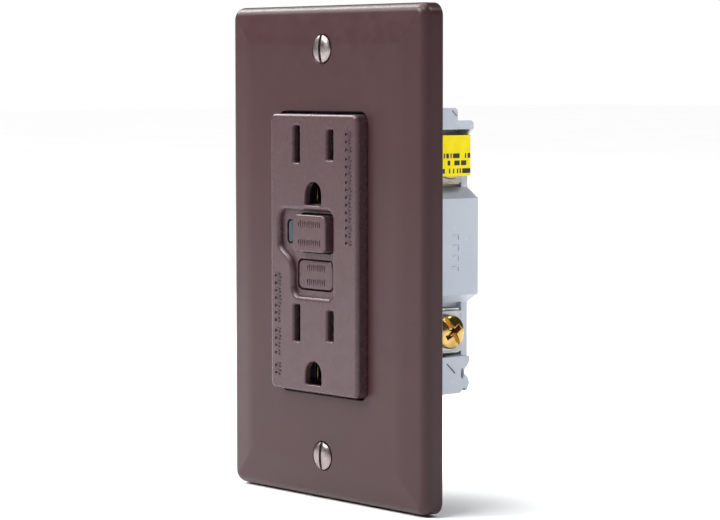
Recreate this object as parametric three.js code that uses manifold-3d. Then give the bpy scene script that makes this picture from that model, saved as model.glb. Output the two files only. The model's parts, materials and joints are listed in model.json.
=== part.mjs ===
// Ground-fault duplex outlet with its wall plate, modelled as the separate pieces it is assembled from.
// Millimetres. X runs across the plate, Y runs into the wall, Z is up.
// Y = 0 is the wall surface that the plate's rim and the strap's ears rest on.
// The outlet's face looks along -Y.
import * as THREE from 'three';
import { mergeVertices } from 'three/addons/utils/BufferGeometryUtils.js';
import Module from 'manifold-3d';

const wasm = await Module();
wasm.setup();

// Driving dimensions.

const gap = 0.3; // clearance between neighbouring pieces
const roundSides = 16; // facets of a round hole or shank
const bladePitch = 12.7; // between the two blades of a plug
const outletZ = [25.92, -16.78]; // height of each outlet's blade pair
const groundDrop = 11.86; // ground pin below the blade pair
const terminalZ = [21.6, -18.8]; // load screws, line screws
const plateScrewZ = 48.42; // plate screws, above and below the middle
const boxScrewZ = 41.67; // screws into the wall box

const plate = {
  width: 73.2, height: 117.5, depth: 6.3, corner: 3, roll: 2.4,
  bevelWidth: 8.1, bevelDrop: 1.0, wall: 2.4, rimWall: 2.2,
  openingWidth: 33.6, openingHeight: 67.2, openingCorner: 2.4, screwHole: 2.1, countersink: 3.65,
};
const face = {
  front: -9.1, back: 1.9, width: 33, height: 66.2, corner: 1.6, edge: 0.9, wall: 1.6,
  flangeFront: -1, flangeWidth: 41, flangeHeight: 68, flangeCorner: 1.4,
};
const recess = { floor: -7.8, back: -6.2, left: -13.6, right: 7.6, top: 11.1, bottom: -10.8, step: -8.4 };
const reset = { x: -0.05, z: 4.85, width: 12.4, height: 8.8, front: -10.4, back: -4.2, corner: 1.6 };
const test = { x: -0.6, z: -5.15, width: 12.9, height: 6.8, front: -7.9, back: -4.6, corner: 1.4 };
const rim = { front: -5.6, proud: 0.8 }; // ledge that keeps a button in the face
const lamp = { x: -10.2, z: 4.9, width: 1.9, height: 5.3 };
const strap = { front: 2.2, back: 3.4, halfWidth: 4.2, ear: 1.2, neckZ: 34.4, endZ: 53, earWidth: 33 };
const separator = { front: 2.2, back: 9.2, floor: 8.2, width: 41, height: 68, wall: 1.5 };
const cover = {
  front: 9.5, back: 25, inner: 23, blockHalf: 20.5, recessHalf: 14.9, stripHalf: 16.6,
  stripFront: 23.1, wall: 1.6, blockZ: [-9.9, 13], chamferZ: [-12, 15.5], ledgeHalf: 20,
  recessZ: [-24.7, 29.4], bottom: -33.5, ledgeTop: 31.5, top: 34.5, ledgeBack: 24, earBack: 19,
  footBack: 22.8,
};
const board = {
  front: 20.8, back: 22.4, halfWidth: 13, z: [-24.4, 29.5], wingHalf: 18.4, wingZ: [-8.6, 11.6],
};
const screw = { head: 4.05, shank: 2.05, hole: 2.45, y: 17.8, under: 17.7, top: 20.1, tip: 12.4 };
const terminal = { inner: 15.2, outer: 16.2, front: 9.8, back: 22.8, half: 5.4, tail: 0.8 };
const clamp = { inner: 16.5, outer: 17.4, front: 12.6, back: 22.6, half: 4.9 };
const mechanism = { y: 13.7, latch: [13.2, 14.2], carriage: [11.2, 17.2], carriageTop: 9.7, travel: 1.5 };
const pin = { shank: 1.2, shoulder: 1.8, shoulderY: [16.1, 17.1] };
const groundTerminal = { x: -8.5, y: 13, hole: 2.4, tab: [-13, -4], depth: 17.4 };
const contacts = { barY: [7.1, 7.9], leafFront: -5.8, leaf: 0.6, x: 11.2 }; // behind the blade slots
const arm = { x: [9.5, 12.7], front: 10.9, back: 11.5, foot: -21, top: 7.4 };
const coreZ = -14; // both sensing rings
const assemblyScrews = [
  { x: 16.8, z: 32.2, back: cover.earBack },
  { x: -16.8, z: 32.2, back: cover.earBack },
  { x: 16.8, z: -30.2, back: cover.footBack },
  { x: -16.8, z: -30.2, back: cover.footBack },
];

// Finishes.

function finish(color, roughness, metalness = 0) {
  return new THREE.MeshStandardMaterial({ color, roughness, metalness });
}

const finishes = {
  brownPlastic: finish(0x5f4c4b, 0.35),
  brownFace: finish(0x6b5a5d, 0.4),
  greyHousing: finish(0xb8bccb, 0.5),
  steel: finish(0xb9b9b4, 0.35, 0.9),
  brass: finish(0xc7a144, 0.3, 0.9),
  copper: finish(0xa8663a, 0.35, 0.8),
  silver: finish(0xc9cac6, 0.3, 0.9),
  greenSteel: finish(0x3d7a45, 0.4, 0.6),
  boardGreen: finish(0x2e5c3c, 0.5),
  ferrite: finish(0x2b2b2d, 0.7),
  lens: finish(0x9fb0bf, 0.2),
  label: finish(0xf0dc10, 0.5),
  nylon: finish(0xe6e3d8, 0.5),
  blueDisc: finish(0x2c4f9c, 0.4),
  redFilm: finish(0xa33a2a, 0.4),
  blackEpoxy: finish(0x222224, 0.5),
  paper: finish(0xb79c6b, 0.9),
};

// Solids and outlines.

// The closed triangle mesh of a three.js geometry as a solid that can be joined and cut.
function toSolid(geometry) {
  const bare = geometry.clone();
  bare.deleteAttribute('normal');
  bare.deleteAttribute('uv');
  const merged = mergeVertices(bare, 1e-4);
  const corners = merged.index.array;
  const kept = [];
  for (let i = 0; i < corners.length; i += 3) {
    const [a, b, c] = [corners[i], corners[i + 1], corners[i + 2]];
    if (a !== b && b !== c && c !== a) kept.push(a, b, c);
  }
  return new wasm.Manifold(new wasm.Mesh({
    numProp: 3,
    vertProperties: new Float32Array(merged.attributes.position.array),
    triVerts: new Uint32Array(kept),
  }));
}

function toGeometry(solid) {
  const mesh = solid.getMesh();
  const geometry = new THREE.BufferGeometry();
  geometry.setAttribute('position', new THREE.BufferAttribute(mesh.vertProperties, 3));
  geometry.setIndex(new THREE.BufferAttribute(mesh.triVerts, 1));
  return geometry;
}

function join(...solids) {
  return solids.reduce((sum, next) => sum.add(next));
}

function cut(base, ...tools) {
  return tools.reduce((rest, tool) => rest.subtract(tool), base);
}

// The same solid seen in a mirror on the plane X = 0.
function mirrored(solid) {
  const geometry = toGeometry(solid);
  const points = geometry.attributes.position.array;
  for (let i = 0; i < points.length; i += 3) points[i] = -points[i];
  const corners = geometry.index.array;
  for (let i = 0; i < corners.length; i += 3) [corners[i], corners[i + 1]] = [corners[i + 1], corners[i]];
  return toSolid(geometry);
}

function block([x0, x1], [y0, y1], [z0, z1]) {
  const geometry = new THREE.BoxGeometry(x1 - x0, y1 - y0, z1 - z0);
  geometry.translate((x0 + x1) / 2, (y0 + y1) / 2, (z0 + z1) / 2);
  return toSolid(geometry);
}

// A rounded rectangle, its two axes standing for X and Z.
function roundedRect(width, height, radius, x = 0, z = 0) {
  const [w, h, shape] = [width / 2, height / 2, new THREE.Shape()];
  shape.absarc(x + w - radius, z + h - radius, radius, 0, Math.PI / 2);
  shape.absarc(x - w + radius, z + h - radius, radius, Math.PI / 2, Math.PI);
  shape.absarc(x - w + radius, z - h + radius, radius, Math.PI, Math.PI * 1.5);
  shape.absarc(x + w - radius, z - h + radius, radius, Math.PI * 1.5, Math.PI * 2);
  return shape;
}

function polygon(points) {
  return new THREE.Shape(points.map(([a, b]) => new THREE.Vector2(a, b)));
}

function circle(radius, x = 0, z = 0) {
  return new THREE.Shape().absarc(x, z, radius, 0, Math.PI * 2);
}

// An X-Z outline as a slab from yFront to yBack. three.js gives each arc twice curveSegments facets.
function slab(shape, yFront, yBack, curveSegments = 1, bevel = {}) {
  const settings = { depth: yBack - yFront, bevelEnabled: false, curveSegments, ...bevel };
  const geometry = new THREE.ExtrudeGeometry(shape, settings);
  geometry.rotateX(Math.PI / 2);
  geometry.translate(0, yBack, 0);
  return toSolid(geometry);
}

function roundPost(radius, x, z, yFront, yBack, sides = roundSides) {
  return slab(circle(radius, x, z), yFront, yBack, sides / 2);
}

// A round post or hole along Z, centred on (x, y).
function postZ(x, y, radius, z0, z1) {
  const settings = { depth: z1 - z0, bevelEnabled: false, curveSegments: 6 };
  const geometry = new THREE.ExtrudeGeometry(circle(radius, x, y), settings);
  geometry.translate(0, 0, z0);
  return toSolid(geometry);
}

// Turns a solid made about the Z axis so that it lies along X through (y, z).
function alongX(solid, y, z) {
  const geometry = toGeometry(solid);
  geometry.rotateY(Math.PI / 2);
  geometry.translate(0, y, z);
  return toSolid(geometry);
}

// A slab whose front edge is rounded, or chamfered with one step, and whose back edge is sharp.
// The outline is drawn smaller by the rounding before it is extruded, so the slab keeps its size.
function softFront(width, height, radius, x, z, yFront, yBack, edge, steps = 2, arcs = 1) {
  const inner = Math.max(radius - edge, 0.05);
  const outline = roundedRect(width - 2 * edge, height - 2 * edge, inner, x, z);
  const bevel = { bevelEnabled: true, bevelThickness: edge, bevelSize: edge, bevelSegments: steps };
  const whole = slab(outline, yFront + edge, yBack + edge, arcs, bevel);
  const reach = Math.max(width, height);
  return cut(whole, block([x - reach, x + reach], [yBack, yBack + 4 * edge + 1], [z - reach, z + reach]));
}

// A hole through a front face at yFace, opened out by a 45 degree chamfer.
function chamferedHole(shape, yFace, chamfer, yEnd, curveSegments = 1) {
  const bevel = { bevelEnabled: true, bevelThickness: chamfer, bevelSize: chamfer, bevelSegments: 1 };
  const mouth = slab(shape, yFace - 1, yFace, curveSegments, bevel);
  return join(slab(shape, yFace - 1, yEnd, curveSegments), mouth);
}

// A Y-Z outline drawn as [y, z] points, from x0 to x1.
function prismX(points, x0, x1) {
  const geometry = new THREE.ExtrudeGeometry(polygon(points), { depth: x1 - x0, bevelEnabled: false });
  geometry.rotateZ(Math.PI / 2);
  geometry.rotateY(Math.PI / 2);
  geometry.translate(x0, 0, 0);
  return toSolid(geometry);
}

// An X-Y outline drawn as [x, y] points, from z0 to z1.
function prismZ(points, z0, z1) {
  const geometry = new THREE.ExtrudeGeometry(polygon(points), { depth: z1 - z0, bevelEnabled: false });
  geometry.translate(0, 0, z0);
  return toSolid(geometry);
}

// A profile of [radius, y] points turned about the Y axis through (x, z).
function turned(profile, x = 0, z = 0, sides = roundSides) {
  const geometry = new THREE.LatheGeometry(profile.map(([r, y]) => new THREE.Vector2(r, y)), sides);
  geometry.translate(x, 0, z);
  return toSolid(geometry);
}

// A round wire along a path, with twice as many sides as arcs.
function wire(path, radius, steps, arcs = 3) {
  const section = new THREE.Shape();
  section.absarc(0, 0, radius, 0, Math.PI * 2);
  const settings = { steps, extrudePath: path, bevelEnabled: false, curveSegments: arcs };
  return toSolid(new THREE.ExtrudeGeometry(section, settings));
}

class Helix extends THREE.Curve {
  constructor(radius, length, turns) {
    super();
    Object.assign(this, { radius, length, turns });
  }

  getPoint(t, target = new THREE.Vector3()) {
    const angle = t * this.turns * Math.PI * 2;
    return target.set(this.radius * Math.cos(angle), this.length * t, this.radius * Math.sin(angle));
  }
}

// A compression spring about the Y axis, starting at the origin.
function spring(coilRadius, wireRadius, length, turns) {
  const path = new Helix(coilRadius, length - 2 * wireRadius, turns);
  const coil = wire(path, wireRadius, turns * 8, 2);
  const geometry = toGeometry(coil);
  geometry.translate(0, wireRadius, 0);
  return toSolid(geometry);
}

// Scene graph.

const group = new THREE.Group();

function add(name, solid, material, parent = group, place = {}) {
  const mesh = new THREE.Mesh(toGeometry(solid), material);
  mesh.name = name;
  if (place.position) mesh.position.set(...place.position);
  if (place.rotation) mesh.rotation.set(...place.rotation);
  parent.add(mesh);
  return mesh;
}

function subgroup(position, rotation = [0, 0, 0], parent = group) {
  const child = new THREE.Group();
  child.position.set(...position);
  child.rotation.set(...rotation);
  parent.add(child);
  return child;
}

// Wall plate.

// A pressed plate: flat middle, shallow mitred bevels, rolled edge, hollow behind.
function wallPlate() {
  const front = -plate.depth;
  const rolled = softFront(plate.width, plate.height, plate.corner, 0, 0, front, 0, plate.roll, 3, 2);
  const bevel = {
    bevelEnabled: true, bevelThickness: plate.bevelDrop, bevelSize: plate.bevelWidth, bevelSegments: 1,
  };
  const middle = [plate.width - 2 * plate.bevelWidth, plate.height - 2 * plate.bevelWidth];
  const crowned = slab(roundedRect(...middle, 0.05), front + plate.bevelDrop, 2, 1, bevel);
  const hollowBevel = { ...bevel, bevelThickness: 1.5, bevelSize: 5 };
  const hollowSize = [plate.width - 2 * (plate.rimWall + 5), plate.height - 2 * (plate.rimWall + 5)];
  const hollow = slab(roundedRect(...hollowSize, 0.05), front + plate.wall + 1.5, 2, 1, hollowBevel);
  const opening = slab(
    roundedRect(plate.openingWidth, plate.openingHeight, plate.openingCorner), front - 1, 1, 2);
  const screwHoles = [plateScrewZ, -plateScrewZ].map((z) => turned([
    [0, front - 1], [plate.countersink + 1, front - 1], [plate.countersink, front],
    [plate.screwHole, front + 1.6], [plate.screwHole, 1], [0, 1],
  ], 0, z));
  return cut(rolled.intersect(crowned), hollow, opening, ...screwHoles);
}

// An oval-headed slotted screw about the Y axis, its head at the front.
function plateScrew() {
  const front = -plate.depth;
  const body = turned([
    [0, front - 0.75], [1.7, front - 0.6], [2.8, front - 0.25], [3.3, front + 0.05],
    [1.7, front + 1.65], [1.7, 5], [1.3, 5.6], [0, 5.6],
  ], 0, 0, 14);
  return cut(body, block([-0.45, 0.45], [front - 1, front + 0.35], [-4, 4]));
}

add('wall_plate', wallPlate(), finishes.brownPlastic);
add('plate_screw_upper', plateScrew(), finishes.steel, group, { position: [0, 0, plateScrewZ] });
add('plate_screw_lower', plateScrew(), finishes.steel, group, { position: [0, 0, -plateScrewZ] });

// Face.

// The sunk panel round the buttons: a rectangle whose lower left corner steps in along an S.
function recessOutline(grow = 0) {
  const shape = new THREE.Shape();
  const [left, right] = [recess.left - grow, recess.right + grow];
  const [top, bottom, step] = [recess.top + grow, recess.bottom - grow, recess.step - grow];
  const bend = 1.6;
  shape.moveTo(left, top - bend);
  shape.quadraticCurveTo(left, top, left + bend, top);
  shape.lineTo(right - bend, top);
  shape.quadraticCurveTo(right, top, right, top - bend);
  shape.lineTo(right, bottom + bend);
  shape.quadraticCurveTo(right, bottom, right - bend, bottom);
  shape.lineTo(step + bend, bottom);
  shape.quadraticCurveTo(step, bottom, step, bottom + bend);
  shape.lineTo(step, -5.5);
  shape.bezierCurveTo(step, -2.4, step - 1.2, -1.7, step - 2.6, -0.9);
  shape.bezierCurveTo(left + 1.2, 0, left, 0.8, left, 2.4);
  return shape;
}

// One outlet's two blade slots and its ground hole, arched above and flat below.
function outletHoles(z) {
  const groundZ = z - groundDrop;
  const archHole = new THREE.Shape();
  archHole.absarc(0, groundZ, 3, 0, Math.PI);
  archHole.lineTo(-3, groundZ - 2.55);
  archHole.lineTo(3, groundZ - 2.55);
  return [
    chamferedHole(roundedRect(2.2, 8.7, 0.3, -bladePitch / 2, z), face.front, 0.5, -7, 1),
    chamferedHole(roundedRect(2.2, 7, 0.3, bladePitch / 2, z), face.front, 0.5, -7, 1),
    chamferedHole(archHole, face.front, 0.3, -7, 9),
  ];
}

function faceCover() {
  const raised = softFront(face.width, face.height, face.corner, 0, 0, face.front, face.back, face.edge);
  const flange = slab(
    roundedRect(face.flangeWidth, face.flangeHeight, face.flangeCorner), face.flangeFront, face.back);
  const inside = slab(
    roundedRect(face.width - 2 * face.wall, face.height - 2 * face.wall, 0.8),
    face.front + face.wall, face.back + 1);
  const backing = slab(recessOutline(1.2), face.front + face.wall - 0.1, recess.back, 2);
  const sunk = chamferedHole(recessOutline(-0.3), face.front, 0.3, recess.floor, 4);
  const lampHole = slab(
    roundedRect(lamp.width + 0.6, lamp.height + 0.6, lamp.width / 2 + 0.25, lamp.x, lamp.z),
    recess.floor - 1, recess.back + 1);
  const wells = [reset, test].map((b) => slab(
    roundedRect(b.width + 0.7, b.height + 0.7, b.corner, b.x, b.z), recess.floor - 1, recess.back + 1));
  const screwHoles = assemblyScrews.map(({ x, z }) => roundPost(1.6, x, z, 0.1, face.back + 1, 8));
  const shell = cut(join(raised, flange), inside);
  return cut(join(shell, backing), sunk, lampHole, ...wells,
    ...outletZ.flatMap(outletHoles), ...screwHoles);
}

add('face_cover', faceCover(), finishes.brownFace);

// Buttons and lamp.

function resetButton() {
  const { x, z, width, height, front, back, corner } = reset;
  const cap = softFront(width, height, corner, x, z, front, back, 0.4);
  const ledge = slab(
    roundedRect(width + 2 * rim.proud, height + 2 * rim.proud, corner, x, z), rim.front, back);
  const hollow = slab(roundedRect(width - 2.6, height - 2.6, 0.8, x, z), front + 1.4, back + 1);
  const sleeve = cut(roundPost(2.7, x, z, front + 1, -3.4, 12), roundPost(1.5, x, z, front + 1.6, 0, 12));
  return join(cut(join(cap, ledge), hollow), sleeve);
}

function testButton() {
  const { x, z, width, height, front, back, corner } = test;
  const cap = softFront(width, height, corner, x, z, front, back, 0.4);
  const ledge = slab(
    roundedRect(width + 2 * rim.proud, height + 2 * rim.proud, corner, x, z), rim.front, back);
  return join(cap, ledge, roundPost(1.8, x, z, back - 1, 3.9, 10));
}

// The steel pin that the latch holds by the shoulder at its far end.
function resetPin() {
  const { shank, shoulder, shoulderY } = pin;
  return turned([
    [0, -8.4], [shank, -8.4], [shank, shoulderY[0]], [shoulder, shoulderY[0]], [shoulder, shoulderY[1]],
    [shank, shoulderY[1] + 0.3], [0, shoulderY[1] + 0.3],
  ], reset.x, reset.z, 12);
}

function lampLens() {
  const radius = lamp.width / 2;
  const front = softFront(lamp.width, lamp.height, radius, lamp.x, lamp.z, -7.7, -4, 0.25, 1);
  const ledge = slab(
    roundedRect(lamp.width + 1.2, lamp.height + 1.2, radius + 0.5, lamp.x, lamp.z), -5.9, -5.1);
  return join(front, ledge);
}

function lampDiode() {
  const body = softFront(2, 4.6, 0.6, lamp.x, lamp.z, -3.7, 0.4, 0.3, 1);
  const legs = [-1.3, 1.3].map((dz) => block(
    [lamp.x - 0.25, lamp.x + 0.25], [0, 5.5], [lamp.z + dz - 0.25, lamp.z + dz + 0.25]));
  return join(body, ...legs);
}

add('reset_button', resetButton(), finishes.brownFace);
add('test_button', testButton(), finishes.brownFace);
add('reset_pin', resetPin(), finishes.steel);
add('reset_spring', spring(2, 0.3, 5, 5), finishes.steel, group, { position: [reset.x, -3.1, reset.z] });
add('lamp_lens', lampLens(), finishes.lens);
add('lamp_diode', lampDiode(), finishes.redFilm);

// Strap and ground path.

// An ear's outline, above the neck for sign 1 and below it for sign -1.
function earOutline(sign) {
  const { neckZ, endZ, earWidth } = strap;
  const half = earWidth / 2;
  const points = [
    [10, neckZ], [10, neckZ + 3], [half - 1.5, neckZ + 3], [half, neckZ + 4.5], [half, endZ - 5],
    [half - 2, endZ - 3], [6, endZ - 3], [5, endZ], [-5, endZ], [-6, endZ - 3], [-half + 2, endZ - 3],
    [-half, endZ - 5], [-half, neckZ + 4.5], [-half + 1.5, neckZ + 3], [-10, neckZ + 3], [-10, neckZ],
  ];
  const placed = points.map(([x, z]) => [x, z * sign]);
  return polygon(sign > 0 ? placed : placed.reverse());
}

function mountingStrap() {
  const { front, back, halfWidth, ear, neckZ } = strap;
  const spine = slab(roundedRect(halfWidth * 2, 2 * neckZ + 2, 0.2), front, back, 1);
  const parts = [spine];
  for (const sign of [1, -1]) {
    const wallZ = [neckZ, neckZ + ear].map((z) => z * sign).sort((a, b) => a - b);
    parts.push(block([-10, 10], [-ear, back], wallZ), slab(earOutline(sign), -ear, 0, 1));
  }
  const { x: tabX, y: tabY, hole, tab, depth } = groundTerminal;
  const groundTab = block(tab, [front + 0.2, depth], [-neckZ - ear, -neckZ]);
  const groundHole = postZ(tabX, tabY, hole, -neckZ - ear - 1, -neckZ + 1);
  const holes = [
    ...outletZ.map((z) => roundPost(3, 0, z - groundDrop, front - 1, back + 1, 12)),
    roundPost(1.8, reset.x, reset.z, front - 1, back + 1, 10),
    roundPost(2.3, test.x, test.z, front - 1, back + 1, 10),
    ...[plateScrewZ, -plateScrewZ].map((z) => roundPost(2.1, 0, z, -3, 2, 12)),
    ...[boxScrewZ, -boxScrewZ].map((z) => slab(roundedRect(7, 4.4, 2.1, 0, z), -3, 2, 2)),
  ];
  return cut(join(...parts, groundTab), groundHole, ...holes);
}

// A U of spring brass that grips the ground pin from both sides.
function groundContact(z) {
  const base = cut(
    block([-3.9, 3.9], [1.1, 1.9], [z - 2.5, z + 3.4]), roundPost(2.7, 0, z, 0, 3, 12));
  const leaves = [-3.3, 2.7].map((x) => block([x, x + 0.6], [-5.5, 1.5], [z - 2.4, z + 2.4]));
  return join(base, ...leaves);
}

add('mounting_strap', mountingStrap(), finishes.steel);
add('ground_contact_upper', groundContact(outletZ[0] - groundDrop), finishes.brass);
add('ground_contact_lower', groundContact(outletZ[1] - groundDrop), finishes.brass);

// A long machine screw about the Y axis that fixes the strap to a wall box.
function boxScrew() {
  const body = turned([
    [0, -3.5], [1.6, -3.4], [2.9, -2.9], [3.4, -2.1], [3.4, -1.5], [1.7, -1.5],
    [1.7, 27], [1.2, 28], [0, 28],
  ], 0, 0, 12);
  return cut(body, block([-4, 4], [-4, -2.7], [-0.4, 0.4]));
}

// The fibre square that keeps a box screw on its ear during handling.
function screwRetainer() {
  return cut(slab(roundedRect(12, 9, 1), 0.3, 1.1), roundPost(2.1, 0, 0, -1, 2, 12));
}

for (const [name, z] of [['upper', boxScrewZ], ['lower', -boxScrewZ]]) {
  const corner = subgroup([0, 0, z]);
  add(`box_screw_${name}`, boxScrew(), finishes.steel, corner);
  add(`screw_retainer_${name}`, screwRetainer(), finishes.paper, corner);
}

// Outlet contacts.

// One side's contacts: a bar with a two-leaf clip behind each blade slot and a fixed relay contact.
function faceContacts() {
  const x = bladePitch / 2;
  const { barY, leafFront, leaf, x: studX } = contacts;
  const inside = (barY[0] + barY[1]) / 2;
  const bar = block([x - 1.45, x + 3.05], barY, [outletZ[1] - 3.4, outletZ[0] + 3.4]);
  const tab = block([x + 2, studX + 2], barY, [reset.z - 2.3, reset.z + 2.3]);
  const stud = roundPost(1.7, studX + 0.1, reset.z, inside, 10, 10);
  const leaves = outletZ.flatMap((z) => [x - 1.45, x + 0.85].map((left) => block(
    [left, left + leaf], [leafFront, inside], [z - 3.4, z + 3.4])));
  return join(bar, tab, stud, ...leaves);
}

add('hot_face_contacts', faceContacts(), finishes.brass);
add('neutral_face_contacts', mirrored(faceContacts()), finishes.silver);

// Separator.

function separatorTray() {
  const { front, back, floor, width, height, wall } = separator;
  const outer = slab(roundedRect(width, height, 1.4), front, back);
  const inner = slab(roundedRect(width - 2 * wall, height - 2 * wall, 0.8), front - 1, floor);
  const bosses = assemblyScrews
    .map(({ x, z }) => roundPost(2.6, x, z, front, floor + 0.2, 10).intersect(outer));
  const notchHalf = strap.halfWidth + gap;
  const strapNotches = block([-notchHalf, notchHalf], [front - 1, strap.back + gap], [-height, height]);
  const boreHoles = assemblyScrews.map(({ x, z }) => roundPost(1.6, x, z, front - 1, back + 1, 8));
  const windows = [
    ...[-11.3, 11.3].map((x) => slab(roundedRect(5, 5, 0.5, x, reset.z), floor - 1, back + 1, 1)),
    ...outletZ.map((z) => roundPost(3, 0, z - groundDrop, floor - 1, back + 1, 12)),
    roundPost(1.8, reset.x, reset.z, floor - 1, back + 1, 10),
  ];
  return cut(join(cut(outer, inner), ...bosses), strapNotches, ...boreHoles, ...windows);
}

add('separator', separatorTray(), finishes.greyHousing);

// Rear cover.

// The X-Z outline of the full-depth body between the two ends.
function bodyOutline() {
  const { blockHalf, blockZ, chamferZ, stripHalf, recessHalf, recessZ } = cover;
  const right = [
    [recessHalf, recessZ[0] - 1], [recessHalf, chamferZ[0]], [stripHalf, chamferZ[0]],
    [blockHalf, blockZ[0]], [blockHalf, blockZ[1]],
    [stripHalf, chamferZ[1]], [recessHalf, chamferZ[1]], [recessHalf, recessZ[1] + 1],
  ];
  return polygon([...right, ...right.map(([x, z]) => [-x, z]).reverse()]);
}

function rearCover() {
  const { front, back, inner, ledgeHalf, recessZ, bottom, ledgeTop, top, wall } = cover;
  const { recessHalf, stripHalf, stripFront, blockHalf, blockZ } = cover;
  const body = slab(bodyOutline(), front, back, 1);
  const strip = block([-stripHalf, stripHalf], [stripFront, back], [recessZ[0] - 1, recessZ[1] + 1]);
  const ledge = block([-ledgeHalf, ledgeHalf], [front, cover.ledgeBack], [recessZ[1], ledgeTop]);
  const ear = block([-ledgeHalf, ledgeHalf], [front, cover.earBack], [ledgeTop - 0.1, top]);
  const underLedge = [ledgeHalf - 3.4, recessZ[1] - 2.3];
  const slopes = [1, -1].map((side) => {
    const shape = polygon([
      [side * 10, underLedge[1]], [side * underLedge[0], underLedge[1]],
      [side * ledgeHalf, recessZ[1] + 0.1], [side * 10, recessZ[1] + 0.1],
    ]);
    return slab(shape, stripFront, cover.ledgeBack, 1);
  });
  const foot = prismX([
    [front, bottom], [20.5, bottom], [22.1, bottom + 0.8], [cover.footBack, bottom + 2.4],
    [22.2, bottom + 3.8], [21.2, bottom + 4.6], [21.2, bottom + 5.6], [22.4, recessZ[0] - 2],
    [cover.footBack, recessZ[0] - 1.2], [cover.footBack, recessZ[0]], [front, recessZ[0]],
  ], -ledgeHalf, ledgeHalf);
  const outer = join(body, strip, ledge, ear, ...slopes, foot);

  const sideWall = wall + 0.2;
  const cavity = [
    block([wall - recessHalf, recessHalf - wall], [front - 1, inner], [recessZ[0] + 0.1, 29.9]),
    block([wall - recessHalf, recessHalf - wall], [front - 1, 20.9], [bottom + wall, 0]),
    block([wall - recessHalf, recessHalf - wall], [front - 1, 17.2], [0, top - wall]),
    block(
      [sideWall - blockHalf, blockHalf - sideWall], [front - 1, inner], [blockZ[0] + 0.9, blockZ[1] - 1]),
  ];
  const shankHoles = terminalZ.map((z) => postZ(0, 0, screw.hole, -21, 21))
    .map((hole, i) => alongX(hole, screw.y, terminalZ[i]));
  const tailNotches = terminalZ.flatMap((z) => [
    block([-recessHalf - 1, recessHalf + 1], [front - 1, terminal.front + 1.1], [z - 2.8, z + 2.8]),
  ]);
  const screwBores = assemblyScrews.flatMap((at) => [
    roundPost(1.6, at.x, at.z, front - 1, at.back + 1, 8),
    roundPost(2.5, at.x, at.z, at.back - 2.2, back, 12),
  ]);
  const { x, y, hole } = groundTerminal;
  const groundHole = postZ(x, y, hole + 0.1, bottom - 1, bottom + 3);
  return cut(outer, ...cavity, ...shankHoles, ...tailNotches, ...screwBores, groundHole);
}

add('rear_cover', rearCover(), finishes.greyHousing);

// The four screws that clamp the rear cover, separator and face together.
function assemblyScrew(back) {
  return cut(
    turned([
      [0, 0.8], [0.8, 0.8], [1.2, 1.6], [1.2, back - 1.9], [2.1, back - 1.9], [2.1, back - 0.9],
      [1.4, back - 0.4], [0, back - 0.3],
    ], 0, 0, 10),
    block([-0.3, 0.3], [back - 1.1, back + 1], [-1.5, 1.5]),
    block([-1.5, 1.5], [back - 1.1, back + 1], [-0.3, 0.3]));
}

assemblyScrews.forEach(({ x, z, back }, i) => {
  add(`assembly_screw_${i + 1}`, assemblyScrew(back), finishes.steel, group, { position: [x, 0, z] });
});

// The printed tape over both load screws, folded round the back of the housing.
function loadLabel() {
  const [side, back, bendY, thick] = [20.4, 25.3, 22.4, 0.25];
  const outerPath = [[side + thick, 11], [side + thick, bendY], [16.9 + 0.1, back + thick]];
  const innerPath = [[16.8, back], [side, bendY - 0.1], [side, 11]];
  const left = (path) => path.map(([x, y]) => [-x, y]).reverse();
  return prismZ([...outerPath, ...left(outerPath), ...left(innerPath), ...innerPath], 18.4, 28.07);
}

add('load_label', loadLabel(), finishes.label);

// Wiring terminals.

// The tapped plate in a side recess, with a tail that leads in over the cover's rim.
function terminalPlate() {
  const { inner, outer, front, back, half, tail } = terminal;
  const upright = block([inner, outer], [front, back], [-half, half]);
  const lead = block([12, outer], [front, front + tail], [-2.5, 2.5]);
  return cut(join(upright, lead), alongX(postZ(0, 0, screw.hole, 10, 20), screw.y, 0));
}

function clampPlate() {
  const { inner, outer, front, back, half } = clamp;
  const square = block([inner, outer], [front, back], [-half, half]);
  const ridges = [-3.6, 3.6].map((z) => block(
    [inner - 0.2, inner + 0.1], [front, back], [z - 0.4, z + 0.4]));
  const hole = alongX(postZ(0, 0, screw.hole, 10, 20), screw.y, 0);
  return cut(join(square, ...ridges), hole);
}

// A binding screw with a combination slot, along +X, its head outermost.
function bindingScrew() {
  const { head, shank, under, top, tip } = screw;
  const profile = [
    [0, tip], [1.5, tip], [shank, tip + 0.8], [shank, under], [head, under], [head, top - 1.2],
    [head - 0.5, top - 0.4], [head - 1.8, top], [0, top],
  ];
  const body = toGeometry(turned(profile, 0, 0, 14));
  body.rotateZ(-Math.PI / 2);
  body.translate(0, screw.y, 0);
  const slot = block([top - 1.1, top + 1], [screw.y - 5, screw.y + 5], [-0.6, 0.6]);
  const cross = block([top - 1.5, top + 1], [screw.y - 0.6, screw.y + 0.6], [-2.3, 2.3]);
  return cut(toSolid(body), slot, cross);
}

const terminals = [
  { name: 'load_hot', z: terminalZ[0], turn: 0, plateFinish: 'brass', screwFinish: 'brass' },
  { name: 'load_neutral', z: terminalZ[0], turn: Math.PI, plateFinish: 'silver', screwFinish: 'silver' },
  { name: 'line_hot', z: terminalZ[1], turn: 0, plateFinish: 'silver', screwFinish: 'brass' },
  { name: 'line_neutral', z: terminalZ[1], turn: Math.PI, plateFinish: 'silver', screwFinish: 'silver' },
];
for (const { name, z, turn, plateFinish, screwFinish } of terminals) {
  const side = subgroup([0, 0, z], [0, turn, 0]);
  add(`${name}_terminal`, terminalPlate(), finishes[plateFinish], side);
  add(`${name}_clamp`, clampPlate(), finishes.steel, side);
  add(`${name}_screw`, bindingScrew(), finishes[screwFinish], side);
}

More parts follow.
